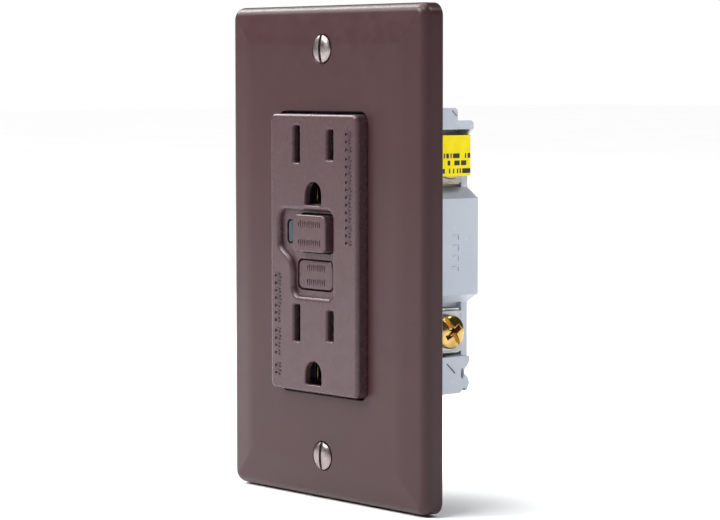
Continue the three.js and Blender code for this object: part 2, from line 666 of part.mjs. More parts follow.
// The green screw and cup washer on the strap's tab, along -Z.
function groundScrew() {
  const top = -strap.neckZ - strap.ear;
  const turnedPart = toGeometry(turned([
    [0, top - 3.6], [3.2, top - 3.4], [3.6, top - 2.8], [3.6, top - 1.3], [2, top - 1.3],
    [2, top + 3.4], [1.6, top + 4], [0, top + 4],
  ], 0, 0, 6));
  turnedPart.rotateX(Math.PI / 2);
  turnedPart.translate(groundTerminal.x, groundTerminal.y, 0);
  const { y, tab } = groundTerminal;
  const slot = block(tab, [y - 0.5, y + 0.5], [top - 4, top - 2.7]);
  return cut(toSolid(turnedPart), slot);
}

function groundWasher() {
  const top = -strap.neckZ - strap.ear;
  const { x, y, hole } = groundTerminal;
  const square = block([x - 4.1, x + 4.1], [y - 4, y + 4], [top - 1, top - 0.3]);
  return cut(square, postZ(x, y, hole, top - 3, top + 1));
}

add('ground_screw', groundScrew(), finishes.greenSteel);
add('ground_washer', groundWasher(), finishes.steel);

// Trip mechanism.

// The carrier that presses both contact arms forward; the latch slides through it.
function contactCarriage() {
  const [front, back] = mechanism.carriage;
  const { carriageTop, y, travel } = mechanism;
  const middle = block([-8, 8], [front, back], [0, carriageTop]);
  const wings = block([-12.7, 12.7], [11.8, 13.8], [reset.z - 2, reset.z + 2]);
  const pinHole = roundPost(2.1, reset.x, reset.z, front - 1, back + 1, 10);
  const latchSlot = block([-3.5, 3.5], [12.9, 14.5], [-1, 11]);
  const plungerNotch = block(
    [-1.6, 1.6], [y - travel - 1.6, y + 1.6], [carriageTop - travel + 0.6, carriageTop + 1]);
  return cut(join(middle, wings), pinHole, latchSlot, plungerNotch);
}

// A sliding steel blade with a keyhole. Its narrow end catches the pin's shoulder, and the wide end
// comes over the shoulder when the blade has travelled down.
function latch() {
  const [front, back] = mechanism.latch;
  const blade = slab(roundedRect(6.4, 11, 0.6, 0, 4.9), front, back);
  const half = pin.shank + gap;
  const narrow = block(
    [reset.x - half, reset.x + half], [front - 1, back + 1], [reset.z - half, reset.z + half]);
  const wide = roundPost(pin.shoulder + gap, reset.x, reset.z + mechanism.travel, front - 1, back + 1, 10);
  return cut(blade, narrow, wide);
}

// A cantilever that carries one moving contact, welded to its line terminal's tail.
function contactArm() {
  const { x, front, back, foot: footZ, top } = arm;
  const leaf = block(x, [front, back], [footZ, top]);
  const button = roundPost(1.5, (x[0] + x[1]) / 2, reset.z, front - 0.6, front + 0.1, 10);
  const foot = block(x, [front + 0.1, back + 1.1], [footZ, footZ + 0.8]);
  return join(leaf, button, foot);
}

// The leaf that TEST bends on to the test circuit, hooked on the separator at its left end.
function testBlade() {
  const leaf = block([-10.4, 3], [4.2, 4.7], [test.z - 1.7, test.z + 1.7]);
  const hook = block([-10.4, -9.8], [4.3, 7.9], [test.z - 1.7, test.z + 1.7]);
  return join(leaf, hook);
}

// The solenoid's spool, coil, plunger and return spring, all about one line along Z.
function aboutPlungerAxis(profile, sides = 12) {
  const geometry = toGeometry(turned(profile, 0, 0, sides));
  geometry.rotateX(Math.PI / 2);
  geometry.translate(0, mechanism.y, 0);
  return toSolid(geometry);
}

function solenoidSpool() {
  return aboutPlungerAxis([
    [1.6, 17.3], [4.2, 17.3], [4.2, 18.1], [2.2, 18.1], [2.2, 26.2], [4.2, 26.2], [4.2, 27], [1.6, 27],
    [1.6, 17.3],
  ]);
}

function solenoidCoil() {
  return aboutPlungerAxis([[2.5, 18.4], [3.9, 18.4], [3.9, 25.9], [2.5, 25.9], [2.5, 18.4]]);
}

function plunger() {
  return aboutPlungerAxis([[0, 10.7], [1.2, 10.7], [1.2, 30.1], [2.5, 30.1], [2.5, 31.3], [0, 31.3]]);
}

add('contact_carriage', contactCarriage(), finishes.nylon);
add('latch', latch(), finishes.steel);
add('hot_contact_arm', contactArm(), finishes.copper);
add('neutral_contact_arm', mirrored(contactArm()), finishes.copper);
add('test_blade', testBlade(), finishes.brass);
add('solenoid_spool', solenoidSpool(), finishes.nylon);
add('solenoid_coil', solenoidCoil(), finishes.copper);
add('plunger', plunger(), finishes.steel);
add('plunger_spring', spring(1.9, 0.25, 2.5, 3), finishes.steel, group, {
  position: [0, mechanism.y, 27.3], rotation: [Math.PI / 2, 0, 0],
});

// Sensing and electronics.

function ringCore(yFront, yBack) {
  return turned([[3.7, yFront], [8, yFront], [8, yBack], [3.7, yBack], [3.7, yFront]], 0, coreZ, 16);
}

// A line conductor from a contact arm, through both cores, to the circuit board.
function lineConductor(side) {
  const route = new THREE.CatmullRomCurve3([
    [8.9, 9.95, -5.6], [5, 9.95, -3.5], [2.2, 10, -1.2], [1.8, 11.5, -0.4], [1.8, 15, 0], [1.8, 20.5, 0],
  ].map(([x, y, up]) => new THREE.Vector3(x * side, y, coreZ + up)));
  return wire(route, 0.6, 10, 3);
}

function circuitBoard() {
  const [low, high] = board.z;
  const spine = block([-board.halfWidth, board.halfWidth], [board.front, board.back], [low, high]);
  const wings = block([-board.wingHalf, board.wingHalf], [board.front, board.back], board.wingZ);
  return join(spine, wings);
}

function varistor() {
  const disc = alongX(postZ(0, 0, 4.3, -17.2, -13.9), 16, 1.5);
  const legs = [-1.5, 4.5].map((z) => block([-15.8, -15.2], [17, 20.5], [z - 0.3, z + 0.3]));
  return join(disc, ...legs);
}

function thyristor() {
  const outline = new THREE.Shape().absarc(10.5, -8, 2.3, -0.6, Math.PI + 0.6);
  const legs = [-1.27, 0, 1.27].map((dx) => block([10.3 + dx, 10.7 + dx], [18, 20.5], [-8.2, -7.8]));
  return join(slab(outline, 14, 18.6, 4), ...legs);
}

function storageCapacitor() {
  return turned([[0, 13], [2.2, 13], [2.5, 13.3], [2.5, 20.5], [0, 20.5]], 8.6, 21.6, 12);
}

add('sense_core', ringCore(10.9, 14.9), finishes.ferrite);
add('neutral_core', ringCore(15.2, 19.2), finishes.ferrite);
add('hot_conductor', lineConductor(1), finishes.copper);
add('neutral_conductor', lineConductor(-1), finishes.copper);
add('circuit_board', circuitBoard(), finishes.boardGreen);
add('varistor', varistor(), finishes.blueDisc);
add('film_capacitor', block([13.6, 17.4], [13.5, 20.5], [-5.5, 4.5]), finishes.redFilm);
add('storage_capacitor', storageCapacitor(), finishes.blackEpoxy);
add('control_chip', block([-12.8, -8.8], [18.9, 20.5], [-10.5, -4.5]), finishes.blackEpoxy);
add('thyristor', thyristor(), finishes.blackEpoxy);
add('test_resistor', block([-11.6, -9.4], [18.2, 20.4], [14, 20.5]), finishes.nylon);

export default group;
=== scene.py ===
import json
import math
import bmesh
import bpy
from mathutils import Matrix, Vector


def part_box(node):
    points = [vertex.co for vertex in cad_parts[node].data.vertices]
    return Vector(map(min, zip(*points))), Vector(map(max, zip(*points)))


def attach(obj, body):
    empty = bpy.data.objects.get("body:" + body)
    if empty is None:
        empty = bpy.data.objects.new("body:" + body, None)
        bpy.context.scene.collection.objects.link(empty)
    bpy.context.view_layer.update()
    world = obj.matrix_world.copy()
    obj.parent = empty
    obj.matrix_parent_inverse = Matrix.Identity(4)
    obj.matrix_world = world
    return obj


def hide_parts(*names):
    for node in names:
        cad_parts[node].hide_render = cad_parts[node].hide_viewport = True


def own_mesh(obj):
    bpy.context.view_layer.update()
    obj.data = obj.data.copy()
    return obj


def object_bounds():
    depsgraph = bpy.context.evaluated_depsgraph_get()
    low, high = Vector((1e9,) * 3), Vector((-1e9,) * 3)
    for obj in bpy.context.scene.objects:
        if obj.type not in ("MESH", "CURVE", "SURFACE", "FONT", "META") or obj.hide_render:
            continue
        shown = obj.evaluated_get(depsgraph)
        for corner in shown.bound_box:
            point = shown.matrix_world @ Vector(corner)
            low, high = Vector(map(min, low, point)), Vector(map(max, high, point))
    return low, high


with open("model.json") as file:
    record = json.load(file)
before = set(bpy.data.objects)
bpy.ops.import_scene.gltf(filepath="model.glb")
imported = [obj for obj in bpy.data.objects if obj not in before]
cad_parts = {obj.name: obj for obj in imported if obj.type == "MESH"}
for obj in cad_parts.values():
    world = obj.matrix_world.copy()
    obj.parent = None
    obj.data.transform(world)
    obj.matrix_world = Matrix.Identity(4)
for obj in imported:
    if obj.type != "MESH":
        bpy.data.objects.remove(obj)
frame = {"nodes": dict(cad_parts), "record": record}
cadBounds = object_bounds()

# Ground-fault duplex outlet behind a brown wall plate. Sizes in the dictionaries are millimetres.
mm = 0.001
nodes = frame["nodes"]
behaviour = frame["record"]["behaviour"]
bodyOf = {node: body for body, members in behaviour["bodies"].items() for node in members}
slotOf = {entry["node"]: entry["material_slot"] for entry in frame["record"]["subparts"]}


def boxOf(node):
    low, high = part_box(node)
    return Vector(low) / mm, Vector(high) / mm


def middleOf(node):
    low, high = boxOf(node)
    return (low + high) / 2


def quarter(steps):
    return [math.pi / 2 * i / steps for i in range(steps + 1)]  # the angles of a quarter turn


def ring(width, height, radius, y, x=0.0, z=0.0, steps=6):
    points = []  # a rounded rectangle facing the room, in millimetres
    for sideX, sideZ, start in ((1, 1, 0), (-1, 1, 90), (-1, -1, 180), (1, -1, 270)):
        for i in range(steps + 1):
            angle = math.radians(start + 90 * i / steps)
            points.append(Vector((
                x + sideX * (width / 2 - radius) + radius * math.cos(angle), y,
                z + sideZ * (height / 2 - radius) + radius * math.sin(angle))))
    return points


def roundRing(radius, y, x=0.0, z=0.0, sides=40):
    turns = [2 * math.pi * i / sides for i in range(sides)]
    return [Vector((x + radius * math.cos(t), y, z + radius * math.sin(t))) for t in turns]


def rolledEdge(width, height, corner, edge, front, x=0.0, z=0.0, steps=6, share=1.0, least=0.0):
    rings = []  # the rounded edge of a raised panel, from its side round to its front
    for angle in quarter(steps):
        inset = edge * (1 - math.cos(angle))
        rings.append(ring(width - 2 * inset, height - 2 * inset, max(corner - inset * share, least),
                          front + edge - edge * math.sin(angle), x, z))
    return rings


def grown(points, distance, y):
    moved = []  # an outline pushed outwards by a distance, laid at y
    for i, here in enumerate(points):
        before, after = points[i - 1], points[(i + 1) % len(points)]
        into = Vector((here.x - before.x, here.z - before.z)).normalized()
        out = Vector((after.x - here.x, after.z - here.z)).normalized()
        normalA, normalB = Vector((into.y, -into.x)), Vector((out.y, -out.x))
        push = (normalA + normalB) / max(0.4, 1 + normalA.dot(normalB)) * distance
        moved.append(Vector((here.x + push.x, y, here.z + push.y)))
    return moved


def objectFrom(name, bm):
    mesh = bpy.data.meshes.new(name)
    bm.to_mesh(mesh)
    bm.free()
    made = bpy.data.objects.new(name, mesh)
    bpy.context.scene.collection.objects.link(made)
    return made


def loft(name, rings, wrap=False):
    bm = bmesh.new()  # one closed skin through rings that all have the same number of points
    rows = [[bm.verts.new(point * mm) for point in row] for row in rings]
    pairs = list(zip(rows, rows[1:])) + ([(rows[-1], rows[0])] if wrap else [])
    for near, far in pairs:
        for i in range(len(near)):
            j = (i + 1) % len(near)
            bm.faces.new((near[i], near[j], far[j], far[i]))
    if not wrap:
        bm.faces.new(rows[0][::-1])
        bm.faces.new(rows[-1])
    bmesh.ops.remove_doubles(bm, verts=bm.verts, dist=1e-8)
    bmesh.ops.recalc_face_normals(bm, faces=bm.faces)
    return objectFrom(name, bm)


def blockOf(name, low, high):
    bm = bmesh.new()
    bmesh.ops.create_cube(bm, size=1)
    middle = (Vector(low) + Vector(high)) / 2
    for vert in bm.verts:
        span = Vector(high) - Vector(low)
        vert.co = (middle + Vector([vert.co[k] * span[k] for k in range(3)])) * mm
    return objectFrom(name, bm)


def turnedTo(made, matrix):
    made.data.transform(matrix)
    return made


def joined(name, parts):
    bm = bmesh.new()
    for part in parts:
        bm.from_mesh(part.data)
        bpy.data.objects.remove(part)
    return objectFrom(name, bm)


def bake(made):
    graph = bpy.context.evaluated_depsgraph_get()
    mesh = bpy.data.meshes.new_from_object(made.evaluated_get(graph), depsgraph=graph)
    made.modifiers.clear()
    made.data = mesh
    return made


def carve(base, tools, operation="DIFFERENCE"):
    tool = joined("tool", tools)
    boolean = base.modifiers.new("carve", "BOOLEAN")
    boolean.operation = operation
    boolean.object = tool
    boolean.solver = "EXACT"
    boolean.use_self = True
    bake(base)
    bpy.data.objects.remove(tool)
    return base


def soften(made, width, segments=2, angle=32, flats=True):
    bm = bmesh.new()
    bm.from_mesh(made.data)
    bmesh.ops.remove_doubles(bm, verts=bm.verts, dist=2e-6)
    bmesh.ops.dissolve_limit(bm, angle_limit=math.radians(0.6), verts=bm.verts, edges=bm.edges)
    bm.to_mesh(made.data)
    bm.free()
    made.data.shade_smooth()
    if width:
        bevel = made.modifiers.new("edges", "BEVEL")
        bevel.width = width * mm
        bevel.segments = segments
        bevel.limit_method = "ANGLE"
        bevel.angle_limit = math.radians(angle)
        bake(made)
    made.data.set_sharp_from_angle(angle=math.radians(42))
    if flats:  # broad flat sheets stay flat right up to their edges
        bm = bmesh.new()
        bm.from_mesh(made.data)
        for edge in bm.edges:
            broad = any(side.calc_area() > 2e-5 for side in edge.link_faces)
            if broad and len(edge.link_faces) == 2 and edge.calc_face_angle() > 0.01:
                edge.smooth = False
        bm.to_mesh(made.data)
        bm.free()
    weighted = made.modifiers.new("normals", "WEIGHTED_NORMAL")
    weighted.weight = 80
    weighted.keep_sharp = True
    return bake(made)


def flatSided(made):
    made.data.shade_smooth()
    made.data.set_sharp_from_angle(angle=math.radians(30))
    return made


def place(made, body, slotName, replaced=()):
    made.data.materials.clear()
    made.data.materials.append(finishes[slotName])
    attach(made, body)
    if replaced:
        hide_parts(*replaced)
    return made


def newTree(name, inputs):
    tree = bpy.data.node_groups.new(name, "GeometryNodeTree")
    tree.interface.new_socket("Geometry", in_out="INPUT", socket_type="NodeSocketGeometry")
    for label, kind in inputs.items():
        tree.interface.new_socket(label, in_out="INPUT", socket_type="NodeSocket" + kind)
    tree.interface.new_socket("Geometry", in_out="OUTPUT", socket_type="NodeSocketGeometry")
    return tree, tree.nodes.new("NodeGroupInput").outputs, tree.nodes.new("NodeGroupOutput")


def runTree(made, tree, values):
    modifier = made.modifiers.new(tree.name, "NODES")
    modifier.node_group = tree
    for item in tree.interface.items_tree:
        if item.item_type == "SOCKET" and item.in_out == "INPUT" and item.name in values:
            modifier[item.identifier] = values[item.name]
    return bake(made)


def addNode(tree, kind, inputs=None, **settings):
    made = tree.nodes.new(kind)
    for key, value in settings.items():
        setattr(made, key, value)
    for socket, value in (inputs or {}).items():
        if isinstance(value, bpy.types.NodeSocket):
            tree.links.new(value, made.inputs[socket])
        else:
            made.inputs[socket].default_value = value
    return made


def mathNode(tree, operation, *values):
    return addNode(tree, "ShaderNodeMath", dict(enumerate(values)), operation=operation).outputs[0]


def copiesInRow(tree, given, shape, size=None):
    row = addNode(tree, "GeometryNodeMeshLine", {
        "Count": given["Copies"], "Start Location": given["First Place"], "Offset": given["Step"],
    }, mode="OFFSET")
    inputs = {"Points": row.outputs["Mesh"], "Instance": shape, "Rotation": given["Turn"]}
    if size:
        inputs["Scale"] = size
    return addNode(tree, "GeometryNodeInstanceOnPoints", inputs).outputs[0]


def endTree(tree, given, end, shape):
    real = addNode(tree, "GeometryNodeRealizeInstances", {0: shape})
    finish = addNode(tree, "GeometryNodeSetMaterial", {
        "Geometry": real.outputs[0], "Material": given["Finish"]})
    tree.links.new(finish.outputs[0], end.inputs[0])
    return tree


def screwTree():
    # turns a profile line about Y, rolls a thread on it, cuts the driver slots and sets out the copies
    tree, given, end = newTree("turnedScrew", {
        "Sides": "Int", "Thread Pitch": "Float", "Thread Depth": "Float", "Thread From": "Float",
        "Thread To": "Float", "Slot Size": "Vector", "Cross Size": "Vector", "Slot Place": "Vector",
        "Copies": "Int", "First Place": "Vector", "Step": "Vector", "Turn": "Vector", "Finish": "Material"})
    line = addNode(tree, "GeometryNodeMeshToCurve", {0: given["Geometry"]})
    radius = addNode(tree, "GeometryNodeInputNamedAttribute", {"Name": "turnRadius"}, data_type="FLOAT")
    circle = addNode(tree, "GeometryNodeCurvePrimitiveCircle", {"Radius": 1, "Resolution": given["Sides"]})
    skin = addNode(tree, "GeometryNodeCurveToMesh", {
        "Curve": line.outputs[0], "Profile Curve": circle.outputs["Curve"],
        "Scale": radius.outputs["Attribute"], "Fill Caps": True})

    where = addNode(tree, "GeometryNodeInputPosition")
    spot = addNode(tree, "ShaderNodeSeparateXYZ", {0: where.outputs[0]}).outputs
    angle = mathNode(tree, "ARCTAN2", spot["Z"], spot["X"])
    turnShare = mathNode(tree, "DIVIDE", angle, 2 * math.pi)
    along = mathNode(tree, "DIVIDE", spot["Y"], given["Thread Pitch"])
    phase = mathNode(tree, "FRACT", mathNode(tree, "SUBTRACT", along, turnShare))
    valley = mathNode(tree, "ABSOLUTE", mathNode(tree, "SUBTRACT", phase, 0.5))
    depth = mathNode(tree, "MULTIPLY", mathNode(tree, "MULTIPLY", valley, 2), given["Thread Depth"])
    afterStart = mathNode(tree, "GREATER_THAN", spot["Y"], given["Thread From"])
    beforeEnd = mathNode(tree, "LESS_THAN", spot["Y"], given["Thread To"])
    inThread = mathNode(tree, "MULTIPLY", afterStart, beforeEnd)
    cut = mathNode(tree, "MULTIPLY", mathNode(tree, "MULTIPLY", depth, inThread), -1)
    flat = addNode(tree, "ShaderNodeCombineXYZ", {"X": spot["X"], "Z": spot["Z"]})
    outward = addNode(tree, "ShaderNodeVectorMath", {0: flat.outputs[0]}, operation="NORMALIZE")
    inward = addNode(tree, "ShaderNodeVectorMath", {0: outward.outputs[0], "Scale": cut}, operation="SCALE")
    threaded = addNode(tree, "GeometryNodeSetPosition", {
        "Geometry": skin.outputs[0], "Offset": inward.outputs[0]})

    solid = threaded.outputs[0]
    for size in ("Slot Size", "Cross Size"):
        cube = addNode(tree, "GeometryNodeMeshCube", {"Size": given[size]})
        moved = addNode(tree, "GeometryNodeTransform", {
            "Geometry": cube.outputs["Mesh"], "Translation": given["Slot Place"]})
        solid = addNode(tree, "GeometryNodeMeshBoolean", {"Mesh 1": solid, "Mesh 2": moved.outputs[0]},
                        operation="DIFFERENCE", solver="EXACT").outputs["Mesh"]
    return endTree(tree, given, end, copiesInRow(tree, given, solid))


def marksTree():
    # sets a small raised bar out in a row, each copy with its own length and width
    tree, given, end = newTree("raisedMarks", {
        "Copies": "Int", "First Place": "Vector", "Step": "Vector", "Least Size": "Vector",
        "Most Size": "Vector", "Seed": "Int", "Turn": "Vector", "Finish": "Material"})
    size = addNode(tree, "FunctionNodeRandomValue", {
        "Min": given["Least Size"], "Max": given["Most Size"], "Seed": given["Seed"],
    }, data_type="FLOAT_VECTOR")
    return endTree(tree, given, end, copiesInRow(tree, given, given["Geometry"], size.outputs["Value"]))


def coilTree():
    # winds a round wire about Z
    tree, given, end = newTree("woundWire", {
        "Coil Radius": "Float", "Length": "Float", "Turns": "Float", "Wire Radius": "Float",
        "Place": "Vector", "Turn": "Vector", "Finish": "Material"})
    spiral = addNode(tree, "GeometryNodeCurveSpiral", {
        "Resolution": 24, "Rotations": given["Turns"], "Start Radius": given["Coil Radius"],
        "End Radius": given["Coil Radius"], "Height": given["Length"]})
    section = addNode(tree, "GeometryNodeCurvePrimitiveCircle", {
        "Resolution": 10, "Radius": given["Wire Radius"]})
    skin = addNode(tree, "GeometryNodeCurveToMesh", {
        "Curve": spiral.outputs[0], "Profile Curve": section.outputs["Curve"], "Fill Caps": True})
    moved = addNode(tree, "GeometryNodeTransform", {
        "Geometry": skin.outputs[0], "Translation": given["Place"], "Rotation": given["Turn"]})
    return endTree(tree, given, end, moved.outputs[0])


screwNodes, marksNodes, coilNodes = screwTree(), marksTree(), coilTree()
print("stage: node trees ready")


def newMaterial(name):
    material = bpy.data.materials.new(name)
    material.use_nodes = True
    tree = material.node_tree
    coordinates = addNode(tree, "ShaderNodeTexCoord")
    return material, tree, tree.nodes["Principled BSDF"], coordinates.outputs["Object"]


def noiseAt(tree, coordinates, scale, detail=4.0, roughness=0.55):
    return addNode(tree, "ShaderNodeTexNoise", {
        "Scale": scale, "Detail": detail, "Roughness": roughness, "Vector": coordinates}).outputs[0]


def between(tree, share, low, high, fromLow=0.3, fromHigh=0.7):
    return addNode(tree, "ShaderNodeMapRange", {
        "From Min": fromLow, "From Max": fromHigh, "To Min": low, "To Max": high, "Value": share,
    }).outputs["Result"]


def mixColour(tree, share, first, second):
    first, second = (colour + (1.0,) if isinstance(colour, tuple) else colour for colour in (first, second))
    mix = addNode(tree, "ShaderNodeMix", {"Factor": share, "A": first, "B": second}, data_type="RGBA")
    return mix.outputs["Result"]


def bumpOf(tree, shader, height, strength, distance):
    bump = addNode(tree, "ShaderNodeBump", {
        "Strength": strength, "Distance": distance * mm, "Height": height})
    tree.links.new(bump.outputs[0], shader.inputs["Normal"])


def plasticFinish(name, colour, shade, rough, patch=60, grain=2200, bump=0.08, gloss=0.5):
    # moulded plastic: faint blotches in the colour, rubbed specks, uneven gloss and a fine skin
    material, tree, shader, at = newMaterial(name)
    tone = mixColour(tree, between(tree, noiseAt(tree, at, patch, 3), 0, 1), shade, colour)
    rubbed = tuple(min(1, channel * 1.35 + 0.01) for channel in colour)
    specks = between(tree, noiseAt(tree, at, patch * 12, 6), 0, 0.5, 0.64, 0.8)
    tree.links.new(mixColour(tree, specks, tone, rubbed), shader.inputs["Base Color"])
    polish = between(tree, noiseAt(tree, at, patch * 5, 5), *rough)
    tree.links.new(polish, shader.inputs["Roughness"])
    bumpOf(tree, shader, noiseAt(tree, at, grain, 6), bump, 0.05)
    shader.inputs["Specular IOR Level"].default_value = gloss
    return material


def metalFinish(name, colour, shade, rough, brush=(400, 400, 400), bump=0.12, patch=300):
    # plated or bare metal: drawn or tumbled marks, stains where it was handled, and uneven polish
    material, tree, shader, at = newMaterial(name)
    stretch = addNode(tree, "ShaderNodeMapping", {"Scale": brush, "Vector": at})
    marks = noiseAt(tree, stretch.outputs[0], 1.0, 5)
    stains = between(tree, noiseAt(tree, at, patch, 4), 0, 1)
    tree.links.new(mixColour(tree, stains, shade, colour), shader.inputs["Base Color"])
    tree.links.new(between(tree, marks, *rough), shader.inputs["Roughness"])
    bumpOf(tree, shader, marks, bump, 0.03)
    shader.inputs["Metallic"].default_value = 1.0
    return material


finishes = {
    "plate_brown": plasticFinish("satinBrownPlate", (0.047, 0.0208, 0.0225), (0.0425, 0.0188, 0.0205),
                                 (0.28, 0.36), gloss=0.25),
    "face_brown": plasticFinish("satinBrownFace", (0.063, 0.0335, 0.0375), (0.057, 0.0305, 0.0345),
                                (0.22, 0.32), gloss=0.35),
    "housing_grey": plasticFinish("greyHousing", (0.54, 0.575, 0.64), (0.49, 0.525, 0.6), (0.40, 0.52),
                                  grain=1500, bump=0.14),
    "lamp_lens": plasticFinish("lightPipe", (0.04, 0.06, 0.08), (0.025, 0.04, 0.055), (0.10, 0.2), bump=0.03,
                               gloss=0.25),
    "core_black": plasticFinish("dippedCore", (0.03, 0.03, 0.033), (0.018, 0.018, 0.02), (0.35, 0.55),
                                bump=0.4),
    "board_green": plasticFinish("boardMask", (0.05, 0.19, 0.08), (0.035, 0.14, 0.06), (0.25, 0.4), bump=0.1),
    "nylon": plasticFinish("naturalNylon", (0.74, 0.71, 0.62), (0.66, 0.63, 0.55), (0.38, 0.5), bump=0.1),
    "blue_coat": plasticFinish("blueCoating", (0.03, 0.09, 0.38), (0.02, 0.06, 0.28), (0.2, 0.34), bump=0.2),
    "red_epoxy": plasticFinish("redEpoxy", (0.42, 0.05, 0.035), (0.32, 0.035, 0.025), (0.2, 0.34), bump=0.1),
    "black_epoxy": plasticFinish("blackCompound", (0.022, 0.022, 0.024), (0.014, 0.014, 0.016), (0.45, 0.6)),
    "fibre": plasticFinish("fibreCard", (0.46, 0.33, 0.18), (0.36, 0.25, 0.13), (0.7, 0.85), grain=900,
                           bump=0.5),
    "plate_screw": metalFinish("lacqueredScrew", (0.34, 0.29, 0.29), (0.20, 0.16, 0.16), (0.24, 0.38)),
    "steel": metalFinish("zincPlate", (0.50, 0.51, 0.51), (0.34, 0.35, 0.36), (0.28, 0.44), (300, 2500, 300)),
    "brass": metalFinish("brightBrass", (0.62, 0.43, 0.15), (0.40, 0.26, 0.08), (0.10, 0.24)),
    "plated_brass": metalFinish("nickelPlate", (0.66, 0.66, 0.64), (0.55, 0.55, 0.53), (0.25, 0.42),
                                bump=0.3),
    "copper": metalFinish("copperWire", (0.72, 0.36, 0.20), (0.55, 0.24, 0.12), (0.18, 0.34)),
    "green_steel": metalFinish("greenGroundScrew", (0.10, 0.42, 0.16), (0.05, 0.28, 0.10), (0.28, 0.42)),
}


labelPrint = {"rows": (23.2, 21.5, 19.6), "rowHeight": 1.15, "dash": 0.42, "printed": 0.64}


def labelFinish():
    # yellow tape with rows of plain dark dashes that stand for its print.
    material, tree, shader, at = newMaterial("yellowTape")
    spot = addNode(tree, "ShaderNodeSeparateXYZ", {0: at}).outputs
    along = mathNode(tree, "SUBTRACT", spot["Y"], mathNode(tree, "ABSOLUTE", spot["X"]))
    cell = mathNode(tree, "FLOOR", mathNode(tree, "DIVIDE", along, labelPrint["dash"] * mm))
    inkMask = None
    for i, z in enumerate(labelPrint["rows"]):
        away = mathNode(tree, "ABSOLUTE", mathNode(tree, "SUBTRACT", spot["Z"], z * mm))
        inRow = mathNode(tree, "LESS_THAN", away, labelPrint["rowHeight"] * mm / 2)
        white = addNode(tree, "ShaderNodeTexWhiteNoise", {"W": mathNode(tree, "ADD", cell, 37.0 * i)},
                        noise_dimensions="1D")
        inked = mathNode(tree, "GREATER_THAN", white.outputs["Value"], 1 - labelPrint["printed"])
        printed = mathNode(tree, "MULTIPLY", inRow, inked)
        inkMask = printed if inkMask is None else mathNode(tree, "MAXIMUM", inkMask, printed)
    fade = between(tree, noiseAt(tree, at, 500, 4), 0, 1)
    paper = mixColour(tree, fade, (0.88, 0.70, 0.003), (0.96, 0.80, 0.005))
    tree.links.new(mixColour(tree, inkMask, paper, (0.035, 0.03, 0.03)), shader.inputs["Base Color"])
    tree.links.new(between(tree, noiseAt(tree, at, 900, 5), 0.32, 0.46), shader.inputs["Roughness"])
    shader.inputs["Specular IOR Level"].default_value = 0.25
    bumpOf(tree, shader, noiseAt(tree, at, 260, 3), 0.12, 0.05)
    return material


finishes["label_yellow"] = labelFinish()
print("stage: finishes ready")


plate = {
    "corner": 3.0, "leastCorner": 0.7, "roll": 2.4, "bevelWidth": 8.1, "bevelDrop": 1.0, "creaseBlend": 2.2,
    "wall": 2.4, "rimWall": 2.2, "hollowSlope": (5.0, 1.5), "opening": (33.6, 67.2), "openingCorner": 2.4,
    "openingEdge": 0.4, "screwZ": 48.42, "countersink": 3.65, "screwHole": 2.1, "rimEdge": 0.3,
}


def plateProfile():
    low, high = boxOf("wall_plate")
    front, half = low.y, high.x
    slope = math.atan2(plate["bevelDrop"], plate["bevelWidth"])
    roll = plate["roll"]
    crease = plate["bevelWidth"]
    # the roll's centre lies one radius from both the side and the bevel
    centreDepth = front + (roll + (crease - roll) * math.sin(slope)) / math.cos(slope)
    steps = [(plate["rimEdge"], 0.0), (0.0, -plate["rimEdge"])]
    arc = 9
    for i in range(arc + 1):
        angle = (math.pi / 2 - slope) * i / arc
        steps.append((roll - roll * math.cos(angle), centreDepth - roll * math.sin(angle)))
    blend = plate["creaseBlend"]
    outer = Vector((crease - blend, front + blend * math.tan(slope)))
    corner, inner = Vector((crease, front)), Vector((crease + blend, front))
    for i in range(7):
        t = i / 6
        steps.append(tuple(outer * (1 - t) ** 2 + corner * 2 * t * (1 - t) + inner * t ** 2))
    return steps, front, half, high.z


def makeWallPlate():
    steps, front, halfWidth, halfHeight = plateProfile()
    rings = []
    for inset, y in steps:
        radius = max(plate["corner"] - inset, plate["leastCorner"])
        rings.append(ring(2 * (halfWidth - inset), 2 * (halfHeight - inset), radius, y, steps=10))
    width, height = plate["opening"]
    edge, corner = plate["openingEdge"], plate["openingCorner"]
    for angle in quarter(4):
        out = edge * (1 - math.sin(angle))
        rings.append(ring(width + 2 * out, height + 2 * out, corner + out,
                          front + edge * (1 - math.cos(angle)), steps=10))
    ceiling = front + plate["wall"]
    rings.append(ring(width, height, corner, ceiling, steps=10))
    run, rise = plate["hollowSlope"]
    for inset, y in ((plate["rimWall"] + run, ceiling), (plate["rimWall"], ceiling + rise),
                     (plate["rimWall"], 0.0)):
        rings.append(ring(2 * (halfWidth - inset), 2 * (halfHeight - inset), 0.6, y, steps=10))
    made = loft("wallPlate", rings, wrap=True)
    holes = []
    sink, hole = plate["countersink"], plate["screwHole"]
    for z in (plate["screwZ"], -plate["screwZ"]):
        profile = [(sink + 1.3, front - 1), (sink + 0.12, front - 0.05), (sink, front + 0.08),
                   (hole, front + 1.6), (hole, 1)]
        holes.append(loft("hole", [roundRing(r, y, 0, z, 48) for r, y in profile]))
    carve(made, holes)
    return place(soften(made, 0, flats=False), "root", "plate_brown", ["wall_plate"])


makeWallPlate()
print("stage: wall plate")


